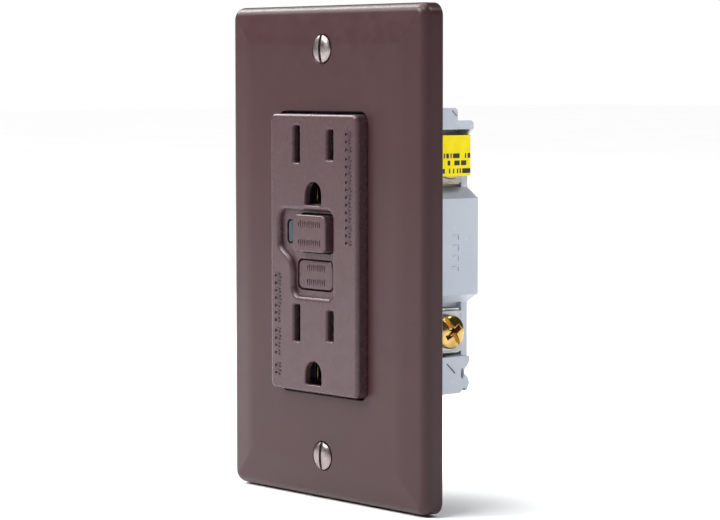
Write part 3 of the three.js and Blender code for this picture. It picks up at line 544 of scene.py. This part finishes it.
face = {
    "width": 33.0, "height": 66.2, "corner": 1.6, "edge": 0.9, "wall": 1.6, "flangeFront": -1.0,
    "flangeCorner": 1.4, "recessFloor": -7.8, "recessBack": -6.2, "mouth": 1.05,
    "left": -14.1, "right": 8.15, "top": 11.15, "bottom": -11.3, "step": -8.95, "bend": 2.7, "footBend": 3.6,
    "outletZ": (25.92, -16.78), "bladeX": 6.35, "groundDrop": 11.86, "slot": 2.2, "slotHeights": (8.7, 7.0),
    "slotChamfer": 0.5, "groundRadius": 3.0, "groundFoot": 2.55, "wellGap": 0.35, "cell": 1.78,
    "slotCorner": 0.3,
    "groundChamfer": 0.3, "through": 0.6, "hollowCorner": 0.8, "backing": 0.6, "soft": 0.12,
    # each column of marks: its X, its top, how many cells, and its seed
    "marks": ((13.3, 29.0, 3, 3), (13.3, 23.2, 12, 8), (-13.5, -5.4, 7, 11), (-13.5, -18.6, 4, 13),
              (-13.5, -27.0, 2, 17)),
}
buttons = {
    "reset_button": {"piece": "reset", "corner": 1.6, "edge": 0.4, "ledge": 0.8, "ledgeFront": -5.6,
                     "capBack": -4.2, "size": (12.4, 8.8), "markHeight": 0.14, "marks": 11, "markPitch": 0.8},
    "test_button": {"piece": "test", "corner": 1.5, "edge": 0.35, "ledge": 0.8, "ledgeFront": -5.6,
                    "capBack": -4.6, "size": (12.9, 6.8), "markHeight": 0.14, "marks": 9, "markPitch": 0.8},
}
capBack = {"wall": 1.3, "roof": 1.4, "hollowCorner": 0.8, "sleeve": 2.7, "sleeveBack": -3.4, "bore": 1.5,
           "boreRoof": 1.6, "stem": 1.8, "soft": 0.1}
lamp = {"width": 1.9, "height": 5.3, "corner": 0.94, "edge": 0.4, "gap": 0.3, "windowCorner": 1.2,
        "flange": 0.6, "flangeCorner": 1.45, "flangeFront": -5.9, "flangeBack": -5.1, "footFront": -5.5,
        "soft": 0.06}


def curveTo(points, *handles, steps=8):
    start = points[-1]
    control = [start] + [Vector((x, 0, z)) for x, z in handles]
    order = len(control) - 1
    for i in range(1, steps + 1):
        t = i / steps
        total = Vector((0, 0, 0))
        for k, point in enumerate(control):
            total += point * (math.comb(order, k) * t ** k * (1 - t) ** (order - k))
        points.append(total)


def recessOutline():
    # the sunk panel's mouth: a rectangle whose lower left corner steps in along an S
    left, right, top, bottom, step = (face[key] for key in ("left", "right", "top", "bottom", "step"))
    r, foot = face["bend"], face["footBend"]
    points = [Vector((right, 0, top - r))]
    curveTo(points, (right, top - r * 0.45), (right - r * 0.45, top), (right - r, top))
    points.append(Vector((left + r, 0, top)))
    curveTo(points, (left + r * 0.45, top), (left, top - r * 0.45), (left, top - r))
    points.append(Vector((left, 0, 2.6)))
    curveTo(points, (left, 0.9), (left + 1.1, 0.2), (step - 2.6, -0.7), steps=10)
    curveTo(points, (step - 1.1, -1.6), (step, -2.4), (step, -4.6), steps=12)
    points.append(Vector((step, 0, bottom + foot)))
    curveTo(points, (step, bottom + foot * 0.45), (step + foot * 0.45, bottom), (step + foot, bottom),
            steps=10)
    points.append(Vector((right - r, 0, bottom)))
    curveTo(points, (right - r * 0.45, bottom), (right, bottom + r * 0.45), (right, bottom + r))
    return points[:-1]


def mouthed(name, outline, front, mouth, back):
    # a hole with a rounded mouth: mouth is how far the rounding spreads
    lead = grown(outline, mouth * 1.13, front - mouth * 0.017)
    rings = [[point + Vector((0, -1, 0)) for point in lead], lead]
    for angle in quarter(6)[1:]:
        rings.append(grown(outline, mouth * (1 - math.sin(angle)), front + mouth * (1 - math.cos(angle))))
    rings.append(grown(outline, 0, back))
    return loft(name, rings)


def chamfered(name, outline, front, chamfer, back):
    steps = ((1.25, -0.28), (0.3, 0.5), (0, 1.1))  # how far out and how deep, in chamfers
    rings = [grown(outline, chamfer * out, front + chamfer * deep) for out, deep in steps]
    return loft(name, rings + [grown(outline, 0, back)])


def groundOutline(z):
    r, foot = face["groundRadius"], z - face["groundFoot"]
    turns = [math.pi * i / 20 for i in range(21)]
    arch = [Vector((r * math.cos(turn), 0, z + r * math.sin(turn))) for turn in turns]
    sill = ((-r, 0.4), (-r + 0.12, 0.12), (-r + 0.4, 0), (r - 0.4, 0), (r - 0.12, 0.12), (r, 0.4))
    return arch + [Vector((x, 0, foot + up)) for x, up in sill]


def markRow(slotName, count, first, step, least, most, seed, turn=(0, 0, 0)):
    bar = loft("bar", [ring(1, 1, 0.18, 0, steps=3), ring(1, 1, 0.18, -0.6, steps=3),
                       ring(0.82, 0.82, 0.14, -1, steps=3)])
    bar.data.transform(Matrix.Scale(1 / mm, 4))
    return runTree(bar, marksNodes, {
        "Copies": count, "First Place": Vector(first) * mm, "Step": Vector(step) * mm,
        "Least Size": Vector(least) * mm, "Most Size": Vector(most) * mm, "Seed": seed,
        "Turn": turn, "Finish": finishes[slotName]})


def faceHoles(front, back):
    through = front + face["wall"] + face["through"]
    holes = []
    for z in face["outletZ"]:
        for side, slotHeight in zip((-1, 1), face["slotHeights"]):
            outline = ring(face["slot"], slotHeight, face["slotCorner"], 0, side * face["bladeX"], z, 3)
            holes.append(chamfered("slot", outline, front, face["slotChamfer"], through))
        outline = groundOutline(z - face["groundDrop"])
        holes.append(chamfered("ground", outline, front, face["groundChamfer"], through))
    for name, spec in buttons.items():
        middle = middleOf(name)
        size = [side + 2 * face["wellGap"] for side in spec["size"]]
        holes.append(loft("well", [ring(*size, spec["corner"], y, middle.x, middle.z)
                                   for y in (front, back)]))
    middle = middleOf("lamp_lens")
    size = [lamp["width"] + 2 * lamp["gap"], lamp["height"] + 2 * lamp["gap"]]
    holes.append(loft("window", [ring(*size, lamp["windowCorner"], y, middle.x, middle.z)
                                 for y in (front, back)]))
    return holes


def faceMarks(front):
    pitch, marks = face["cell"], []
    for x, top, cells, seed in face["marks"]:
        # each cell is a long stroke, a short one and a cross stroke
        for out, down, least, most in ((0, 0, (1.3, 0.3, 0.3), (2.3, 0.34, 0.4)),
                                       (0.3, 0.45, (0.7, 0.3, 0.28), (2.0, 0.34, 0.36)),
                                       (-0.9, 0.25, (0.3, 0.3, 0.7), (0.36, 0.34, 1.0))):
            first = (x + out, front, top - pitch * down)
            marks.append(markRow("face_brown", cells, first, (0, 0, -pitch), least, most, seed))
            seed += 1
    place(flatSided(joined("faceMarks", marks)), "root", "face_brown")


def makeFace():
    low, high = boxOf("face_cover")
    front, back = low.y, high.y
    width, height, corner, wall = (face[key] for key in ("width", "height", "corner", "wall"))
    flange = (high.x - low.x, high.z - low.z, face["flangeCorner"])
    rings = [ring(*flange, back), ring(*flange, face["flangeFront"]),
             ring(width, height, corner, face["flangeFront"])]
    rings += rolledEdge(width, height, corner, face["edge"], front, least=0.5)
    made = loft("faceCover", rings)
    inner = (width - 2 * wall, height - 2 * wall, face["hollowCorner"])
    hollow = loft("hollow", [ring(*inner, y) for y in (front + wall, back + 1)])
    panel = recessOutline()
    backing = [grown(panel, face["backing"], y) for y in (front + wall - 0.5, face["recessBack"])]
    carve(hollow, [loft("backing", backing)])
    inward = grown(panel, -face["mouth"], 0)
    carve(made, [hollow, mouthed("recess", inward, front, face["mouth"], face["recessFloor"])])
    carve(made, faceHoles(front, back))
    soften(made, face["soft"])
    faceMarks(front)
    place(made, "root", "face_brown", ["face_cover"])


def buttonMarks(name, x, z, front):
    spec = buttons[name]
    count, pitch, tall = spec["marks"], spec["markPitch"], spec["markHeight"]
    marks = []
    for i, side in enumerate((1, -1)):
        first = (x - pitch * (count - 1) / 2, front, z + side * spec["size"][1] * 0.25)
        marks.append(markRow("face_brown", count, first, (pitch, 0, 0), (0.26, tall, 1.2), (0.34, tall, 1.7),
                             21 + i))
        dashes = (first[0] + pitch / 2, front, first[2] + side * 0.5)
        marks.append(markRow("face_brown", count // 2, dashes, (2 * pitch, 0, 0), (0.5, tall, 0.2),
                             (0.75, tall, 0.26), 25 + i))
    place(flatSided(joined(spec["piece"] + "Marks", marks)), name, "face_brown")


def makeButton(name):
    low, high = boxOf(name)
    spec = buttons[name]
    x, z = (low.x + high.x) / 2, (low.z + high.z) / 2
    front = low.y + spec["markHeight"]
    width, height = spec["size"]
    corner, ledge = spec["corner"], spec["ledge"]
    wide = (width + 2 * ledge, height + 2 * ledge, corner)
    rings = [ring(*wide, spec["capBack"], x, z), ring(*wide, spec["ledgeFront"], x, z),
             ring(width, height, corner, spec["ledgeFront"], x, z)]
    rings += rolledEdge(width, height, corner, spec["edge"], front, x, z, share=0.9)
    made = loft(spec["piece"] + "Cap", rings)
    if name == "reset_button":  # hollow, with a sleeve that holds the pin
        inner = (width - 2 * capBack["wall"], height - 2 * capBack["wall"], capBack["hollowCorner"])
        carve(made, [loft("hollow", [ring(*inner, y, x, z) for y in (front + capBack["roof"], 0)])])
        sleeve = [roundRing(capBack["sleeve"], y, x, z) for y in (front + 1, capBack["sleeveBack"])]
        carve(made, [loft("sleeve", sleeve)], "UNION")
        bore = [roundRing(capBack["bore"], y, x, z) for y in (front + capBack["boreRoof"], 1)]
        carve(made, [loft("bore", bore)])
    else:
        stem = [roundRing(capBack["stem"], y, x, z) for y in (front + 1, high.y)]
        carve(made, [loft("stem", stem)], "UNION")
    soften(made, capBack["soft"])
    buttonMarks(name, x, z, front)
    place(made, name, "face_brown", [name])


def makeLens():
    low, high = boxOf("lamp_lens")
    x, z = (low.x + high.x) / 2, (low.z + high.z) / 2
    width, height, corner, flange = (lamp[key] for key in ("width", "height", "corner", "flange"))
    wide = (width + 2 * flange, height + 2 * flange, lamp["flangeCorner"])
    rings = [ring(*wide, lamp["flangeBack"], x, z), ring(*wide, lamp["flangeFront"], x, z),
             ring(width, height, corner, lamp["flangeFront"], x, z)]
    rings += rolledEdge(width, height, corner, lamp["edge"], low.y, x, z, steps=5)
    made = loft("lampLens", rings)
    foot = [ring(width, height, corner, y, x, z) for y in (lamp["footFront"], high.y)]
    carve(made, [loft("foot", foot)], "UNION")
    place(soften(made, lamp["soft"]), "root", "lamp_lens", ["lamp_lens"])


makeFace()
for buttonName in buttons:
    makeButton(buttonName)
makeLens()
print("stage: face, buttons and lamp")


def profileLine(points, threadFrom, threadTo, pitch):
    # a line along Y whose points carry the radius to be turned, finely divided where the thread runs
    fine = []
    for (r0, y0), (r1, y1) in zip(points, points[1:]):
        threaded = y0 >= threadFrom - 1e-6 and y1 <= threadTo + 1e-6
        count = max(1, round((y1 - y0) / (pitch / 8))) if threaded else 1
        fine += [(r0 + (r1 - r0) * i / count, y0 + (y1 - y0) * i / count) for i in range(count)]
    fine.append(points[-1])
    bm = bmesh.new()
    radii = bm.verts.layers.float.new("turnRadius")
    before = None
    for radius, y in fine:
        vert = bm.verts.new((0, y * mm, 0))
        vert[radii] = max(radius, 0.02) * mm
        if before:
            bm.edges.new((before, vert))
        before = vert
    return objectFrom("profile", bm)


def makeScrew(name, body, slotName, spec, replaced):
    threadFrom, threadTo, depth = spec["thread"]
    line = profileLine(spec["profile"], threadFrom, threadTo, spec["pitch"])
    made = runTree(line, screwNodes, {
        "Sides": 48, "Thread Pitch": spec["pitch"] * mm, "Thread Depth": depth * mm,
        "Thread From": threadFrom * mm, "Thread To": threadTo * mm,
        "Slot Size": Vector(spec["slot"]) * mm, "Cross Size": Vector(spec.get("cross", spec["slot"])) * mm,
        "Slot Place": Vector(spec["slotPlace"]) * mm, "Copies": spec.get("copies", 1),
        "First Place": Vector(spec["first"]) * mm, "Step": Vector(spec.get("step", (0, 0, 0))) * mm,
        "Turn": spec.get("turn", (0, 0, 0)), "Finish": finishes[slotName]})
    made.name = name
    soften(made, spec["edge"], 2, 38)
    place(made, body, slotName, replaced)


plateScrew = {"head": 3.3, "crown": 0.8, "lift": 0.05, "rim": 0.18, "shank": 1.7, "neckBack": 1.2, "tip": 1.3,
              "pitch": 0.79, "threadDepth": 0.3, "slot": (0.9, 1.6, 8), "slotDepth": 0.6, "edge": 0.07}


def makePlateScrews():
    spec = plateScrew
    front = boxOf("wall_plate")[0].y
    back = boxOf("plate_screw_upper")[1].y
    z = middleOf("plate_screw_upper").z
    head, shank, crownFront = spec["head"], spec["shank"], front + spec["lift"]
    profile = [(head * math.sin(angle), crownFront - spec["crown"] * math.cos(angle)) for angle in quarter(8)]
    profile += [(head, crownFront + spec["rim"]), (shank, front + 1.75), (shank, spec["neckBack"]),
                (shank, back - 0.6), (spec["tip"], back)]
    makeScrew("plateScrews", "root", "plate_screw", {
        "profile": profile, "thread": (spec["neckBack"], back - 0.6, spec["threadDepth"]),
        "pitch": spec["pitch"], "slot": spec["slot"], "slotPlace": (0, front - spec["slotDepth"], 0),
        "copies": 2, "first": (0, 0, z), "step": (0, 0, -2 * z), "edge": spec["edge"],
    }, ["plate_screw_upper", "plate_screw_lower"])


bindingScrew = {"head": 4.05, "crown": 1.14, "under": 2.4, "slot": (1.2, 2.4, 9), "cross": (5.0, 3.2, 1.3),
                "shank": 2.05, "tip": 1.5, "pitch": 0.794, "threadDepth": 0.32, "driverTurn": -32,
                "edge": 0.09}


def makeBindingScrews():
    spec = bindingScrew
    head, shank, under = spec["head"], spec["shank"], spec["under"]
    for node in ("line_hot_screw", "line_neutral_screw", "load_hot_screw", "load_neutral_screw"):
        low, high = boxOf(node)
        side = 1 if high.x > 0 else -1
        middle = (low + high) / 2
        tip = high.x - low.x  # the profile runs from the head's top, at 0, to the shank's tip
        profile = [(head * math.sin(angle), spec["crown"] * (1 - math.cos(angle))) for angle in quarter(8)]
        profile += [(head, under - 0.15), (head - 0.15, under), (shank, under + 0.002), (shank, under + 0.4),
                    (shank, tip - 0.8), (spec["tip"], tip)]
        makeScrew(node + "_turned", bodyOf[node], slotOf[node], {
            "profile": profile, "thread": (under + 0.4, tip - 0.8, spec["threadDepth"]),
            "pitch": spec["pitch"], "slot": spec["slot"], "cross": spec["cross"], "slotPlace": (0, 0, 0),
            "first": (high.x if side > 0 else low.x, middle.y, middle.z), "edge": spec["edge"],
            "turn": (0, math.radians(spec["driverTurn"]), math.radians(90 * side)),
        }, [node])


assemblyScrew = {"head": 2.1, "shank": 1.2, "tip": 0.8, "headDepth": 1.6, "pitch": 0.9, "threadDepth": 0.2,
                 "slot": (0.55, 1.5, 2.8), "cross": (2.8, 1.5, 0.55), "edge": 0.05}


def makeAssemblyScrews():
    spec = assemblyScrew
    head, shank, depth = spec["head"], spec["shank"], spec["headDepth"]
    for pair in ((1, 2), (3, 4)):
        low, high = boxOf(f"assembly_screw_{pair[0]}")
        middle, back = (low + high) / 2, high.y
        profile = [(spec["tip"], low.y), (shank, low.y + 0.8), (shank, back - depth),
                   (head, back - depth + 0.02), (head, back - 0.6), (1.9, back - 0.3), (1.3, back - 0.06),
                   (0.3, back)]
        makeScrew(f"assemblyScrews{pair[0]}", "root", "steel", {
            "profile": profile, "thread": (low.y + 0.8, back - depth, spec["threadDepth"]),
            "pitch": spec["pitch"], "slot": spec["slot"], "cross": spec["cross"], "slotPlace": (0, back, 0),
            "copies": 2, "first": (middle.x, 0, middle.z), "step": (-2 * middle.x, 0, 0),
            "edge": spec["edge"],
        }, [f"assembly_screw_{n}" for n in pair])


boxScrew = {"head": 3.4, "crown": 1.4, "headDepth": 2.0, "shank": 1.7, "neck": 4.0, "tip": 1.2,
            "pitch": 0.794, "threadDepth": 0.3, "slot": (8, 1.6, 0.8), "edge": 0.06}


def makeBoxScrews():
    spec = boxScrew
    low, high = boxOf("box_screw_upper")
    front, back, z = low.y, high.y, middleOf("box_screw_upper").z
    head, shank, under = spec["head"], spec["shank"], front + spec["headDepth"]
    profile = [(head * math.sin(angle), front + spec["crown"] * (1 - math.cos(angle)))
               for angle in quarter(7)]
    profile += [(head, under), (shank, under + 0.002), (shank, front + spec["neck"]), (shank, back - 1),
                (spec["tip"], back)]
    makeScrew("boxScrews", "root", "steel", {
        "profile": profile, "thread": (front + spec["neck"], back - 1, spec["threadDepth"]),
        "pitch": spec["pitch"], "slot": spec["slot"], "slotPlace": (0, front, 0), "copies": 2,
        "first": (0, 0, z), "step": (0, 0, -2 * z), "edge": spec["edge"],
    }, ["box_screw_upper", "box_screw_lower"])


groundScrew = {"head": ((0.05, 0), (3.2, 0.2), (3.45, 0.5), (3.6, 0.9), (3.6, 2.2), (3.5, 2.3)), "shank": 2.0,
               "tip": 1.6, "pitch": 0.794, "threadDepth": 0.3, "slot": (9, 1.8, 1.0), "edge": 0.07}


def makeGroundScrew():
    spec = groundScrew
    low, high = boxOf("ground_screw")
    middle, length, shank = (low + high) / 2, high.z - low.z, spec["shank"]
    under = spec["head"][-1][1]
    profile = [*spec["head"], (shank, under + 0.002), (shank, under + 0.3), (shank, length - 0.6),
               (spec["tip"], length)]
    makeScrew("groundScrew", "ground_screw", "green_steel", {
        "profile": profile, "thread": (under + 0.3, length - 0.6, spec["threadDepth"]),
        "pitch": spec["pitch"], "slot": spec["slot"], "slotPlace": (0, 0, 0), "edge": spec["edge"],
        "first": (middle.x, middle.y, low.z), "turn": (math.radians(90), 0, 0),
    }, ["ground_screw"])


makePlateScrews()
makeBindingScrews()
makeAssemblyScrews()
makeBoxScrews()
makeGroundScrew()
print("stage: screws")


coils = {  # along is 1 for a coil that runs along Y and 2 for one along Z; gap is left at each end
    "reset_spring": {"piece": "resetSpring", "along": 1, "radius": 2.0, "turns": 5.0, "wire": 0.28,
                     "gap": 0.3},
    "plunger_spring": {"piece": "plungerSpring", "along": 2, "radius": 1.9, "turns": 3.0, "wire": 0.24,
                       "gap": 0.25},
    "solenoid_coil": {"piece": "solenoidWinding", "along": 2, "radius": 3.6, "turns": 15.0, "wire": 0.25,
                      "gap": 0.25},
}


def makeCoil(node, replaced=()):
    spec, k = coils[node], coils[node]["along"]
    low, high = boxOf(node)
    foot = (low + high) / 2
    foot[k] = low[k] + spec["gap"]
    made = runTree(blockOf(spec["piece"], (0, 0, 0), (1, 1, 1)), coilNodes, {
        "Coil Radius": spec["radius"] * mm, "Length": (high[k] - low[k] - 2 * spec["gap"]) * mm,
        "Turns": spec["turns"], "Wire Radius": spec["wire"] * mm, "Place": foot * mm,
        "Turn": (math.radians(-90), 0, 0) if k == 1 else (0, 0, 0), "Finish": finishes[slotOf[node]]})
    return place(made, "root", slotOf[node], replaced)


resetSpring = makeCoil("reset_spring", ["reset_spring"])
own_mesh(resetSpring)
plungerSpring = makeCoil("plunger_spring", ["plunger_spring"])
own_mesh(plungerSpring)
makeCoil("solenoid_coil")
print("stage: springs and winding")


rear = {
    "edge": 0.4, "round": 1.1, "side": 20.0, "bore": 2.55, "boreDepth": 1.9,
    # the edges that are rounded: their Y and Z, and whether they look up or down
    "corners": ((19.0, 34.5, 1), (24.0, 31.5, 1), (20.5, -33.5, -1)),
    # each cut in a side face: its two ends in Y and Z, its width and its depth
    "slits": ((17.2, 33.9, 18.6, 32.6, 0.45, 1.2), (15.6, -26.2, 18.2, -28.6, 0.35, 1.0)),
    "oval": 1.1, "ovalDepth": 2.2, "ovalY": 20.5, "ovalZ": -28.7, "ovalShape": (1, 0.42, 1.2, 1),
    "markSide": 20.45, "markY": 17.9, "markTop": 4.4, "markPitch": 2.5, "markCount": 4,
}


def cornerTool(y, z, up, radius):
    # takes the sharp corner off an edge along X that looks out and up, or out and down
    outline = [(y - radius + radius * math.cos(t), z + up * radius * (math.sin(t) - 1)) for t in quarter(8)]
    outline += [(y - radius, z + up), (y + 1, z + up), (y + 1, z - up * radius)]
    return loft("corner", [[Vector((x, *point)) for point in outline] for x in (-25, 25)])


def cadCopy(node, name):
    bm = bmesh.new()
    bm.from_mesh(nodes[node].data)
    bmesh.ops.remove_doubles(bm, verts=bm.verts, dist=1e-6)
    bmesh.ops.dissolve_limit(bm, angle_limit=math.radians(0.5), verts=bm.verts, edges=bm.edges)
    return objectFrom(name, bm)


def slitTool(x, y0, z0, y1, z1, width, depth):
    # a thin cut into a side face, from one Y-Z point to another
    along = Vector((0, y1 - y0, z1 - z0))
    half = along.length / 2
    made = blockOf("slit", (x - depth, -half, -width / 2), (x + depth, half, width / 2))
    turn = Matrix.Rotation(math.atan2(along.z, along.y), 4, "X")
    middle = Matrix.Translation(Vector((0, (y0 + y1) / 2, (z0 + z1) / 2)) * mm)
    return turnedTo(made, middle @ turn)


def ovalTool(x):
    depth = rear["ovalDepth"]
    made = loft("oval", [roundRing(rear["oval"], y, sides=24) for y in (-depth, depth)])
    centre = Matrix.Translation(Vector((x, rear["ovalY"], rear["ovalZ"])) * mm)
    turn = Matrix.Rotation(math.radians(90), 4, "Z")
    return turnedTo(made, centre @ Matrix.Diagonal(rear["ovalShape"]) @ turn)


def housingMarks():
    marks = []
    for side in (1, -1):
        for step, least, most, seed in ((0, (1.5, 0.2, 0.22), (2.2, 0.24, 0.3), 31),
                                       (0.9, (0.22, 0.2, 1.0), (0.3, 0.24, 1.5), 32)):
            first = (side * rear["markSide"], rear["markY"] + step, rear["markTop"] - step * 0.6)
            marks.append(markRow("housing_grey", rear["markCount"], first, (0, 0, -rear["markPitch"]), least,
                                 most, seed, (0, 0, math.radians(90 * side))))
    place(flatSided(joined("housingMarks", marks)), "root", "housing_grey")


def makeRearCover():
    back = boxOf("rear_cover")[1].y
    made = cadCopy("rear_cover", "rearHousing")
    tools = [cornerTool(y, z, up, rear["round"]) for y, z, up in rear["corners"]]
    for side in (1, -1):
        x = side * rear["side"]
        tools += [slitTool(x, *slit) for slit in rear["slits"]]
        tools.append(ovalTool(x))
    for n in (1, 2, 3, 4):
        screw = f"assembly_screw_{n}"
        middle, floor = middleOf(screw), boxOf(screw)[1].y - rear["boreDepth"]
        tools.append(loft("bore", [roundRing(rear["bore"], y, middle.x, middle.z)
                                   for y in (floor, back + 1)]))
    carve(made, tools)
    soften(made, rear["edge"], 3, 28)
    housingMarks()
    place(made, "root", "housing_grey", ["rear_cover"])


def makeLabel():
    made = soften(cadCopy("load_label", "loadTape"), 0.08)
    place(made, "root", "label_yellow", ["load_label"])


makeRearCover()
makeLabel()

refined = {  # pressed and moulded pieces whose edges are eased, with how much
    "mounting_strap": 0.18, "separator": 0.2, "screw_retainer_upper": 0.1, "screw_retainer_lower": 0.1,
    "ground_washer": 0.15, "ground_contact_upper": 0.1, "ground_contact_lower": 0.1,
    "hot_face_contacts": 0.1, "neutral_face_contacts": 0.1,
}
for side in ("load_hot", "load_neutral", "line_hot", "line_neutral"):
    refined[side + "_terminal"] = 0.12
    refined[side + "_clamp"] = 0.14
for node, width in refined.items():
    made = soften(cadCopy(node, node + "_pressed"), width, 2, 30)
    place(made, bodyOf[node], slotOf[node], [node])
print("stage: housing, tape, strap and wiring plates")

for node, cadObject in nodes.items():  # inner pieces keep their CAD shape and get a real finish
    cadObject.data.materials.clear()
    cadObject.data.materials.append(finishes[slotOf[node]])


stage = {
    "floor": (0.985, 0.985, 0.985), "floorShade": (0.965, 0.965, 0.965), "floorSize": 12.0, "backdrop": 1.0,
    "fill": 0.07, "sun": 3.65, "sunAngle": 74, "sunFrom": (-0.6, -0.25, 1.0),
    # each soft light: its place, its target, its size, its power and its colour
    "lights": {
        "leftFront": ((-0.45, -0.75, 0.55), (0, 0, 0), (0.3, 0.3), 8, (1.0, 0.96, 0.93)),
        "above": ((0.05, -0.5, 0.8), (0, 0, 0), (0.4, 0.25), 3, (0.92, 0.95, 1.0)),
        "leftHigh": ((-0.8, -0.05, 0.62), (0, 0, 0), (0.2, 0.35), 3, (1, 1, 1)),
        "backHigh": ((0.6, 0.5, 0.95), (0, 0.02, 0), (0.4, 0.4), 6, (0.96, 0.98, 1.0)),
    },
}


def softBox(name, location, target, size, power, colour):
    light = bpy.data.lights.new(name, "AREA")
    light.shape = "RECTANGLE"
    light.size, light.size_y = size
    light.energy = power
    light.color = colour
    made = bpy.data.objects.new(name, light)
    bpy.context.scene.collection.objects.link(made)
    made.location = location
    made.rotation_euler = (Vector(target) - Vector(location)).to_track_quat("-Z", "Y").to_euler()


def makeStage():
    half = stage["floorSize"] / 2
    drop = cadBounds[0][2] - 0.0004
    bm = bmesh.new()
    corners = [bm.verts.new((x * half, y * half, drop)) for x, y in ((-1, -1), (1, -1), (1, 1), (-1, 1))]
    bm.faces.new(corners)
    floor = objectFrom("floor", bm)
    material, tree, shader, at = newMaterial("paleFloor")
    tone = between(tree, noiseAt(tree, at, 6, 3), 0, 1)
    tree.links.new(mixColour(tree, tone, stage["floorShade"], stage["floor"]), shader.inputs["Base Color"])
    shader.inputs["Roughness"].default_value = 0.8
    floor.data.materials.append(material)
    world = bpy.data.worlds.new("paleRoom")
    bpy.context.scene.world = world
    world.use_nodes = True
    links, background = world.node_tree.links, world.node_tree.nodes["Background"]
    background.inputs["Color"].default_value = (1, 1, 1, 1)
    rays = world.node_tree.nodes.new("ShaderNodeLightPath")  # the backdrop looks white but lights less
    strength = between(world.node_tree, rays.outputs["Is Camera Ray"], stage["fill"], stage["backdrop"], 0, 1)
    links.new(strength, background.inputs["Strength"])
    sun = bpy.data.lights.new("roomLight", "SUN")
    sun.energy = stage["sun"]
    sun.angle = math.radians(stage["sunAngle"])
    sunObject = bpy.data.objects.new("roomLight", sun)
    sunObject.rotation_euler = Vector(stage["sunFrom"]).to_track_quat("Z", "Y").to_euler()
    bpy.context.scene.collection.objects.link(sunObject)
    for name, settings in stage["lights"].items():
        softBox(name, *settings)
    bpy.context.scene.view_settings.view_transform = "Standard"


view = {"azimuth": 50.917, "elevation": 3.89, "roll": -0.066, "distance": 0.645324,
        "target": (0.000406, 0.0, -0.001278), "lens": 135.143, "shift": (0.0227, -0.0030)}


def makeCamera():
    azimuth, elevation = math.radians(view["azimuth"]), math.radians(view["elevation"])
    back = Vector((math.sin(azimuth) * math.cos(elevation), -math.cos(azimuth) * math.cos(elevation),
                   math.sin(elevation)))
    right = Vector((math.cos(azimuth), math.sin(azimuth), 0))
    up = back.cross(right)
    turn = Matrix((right, up, back)).transposed().to_4x4()
    camera = bpy.data.cameras.new("camera")
    camera.lens = view["lens"]
    camera.sensor_width = 36
    camera.shift_x, camera.shift_y = view["shift"]
    camera.clip_start = 0.01
    made = bpy.data.objects.new("camera", camera)
    bpy.context.scene.collection.objects.link(made)
    stand = Matrix.Translation(Vector(view["target"]) + back * view["distance"])
    made.matrix_world = stand @ turn @ Matrix.Rotation(math.radians(view["roll"]), 4, "Z")
    bpy.context.scene.camera = made


makeStage()
makeCamera()
print("stage: floor, lights and camera")
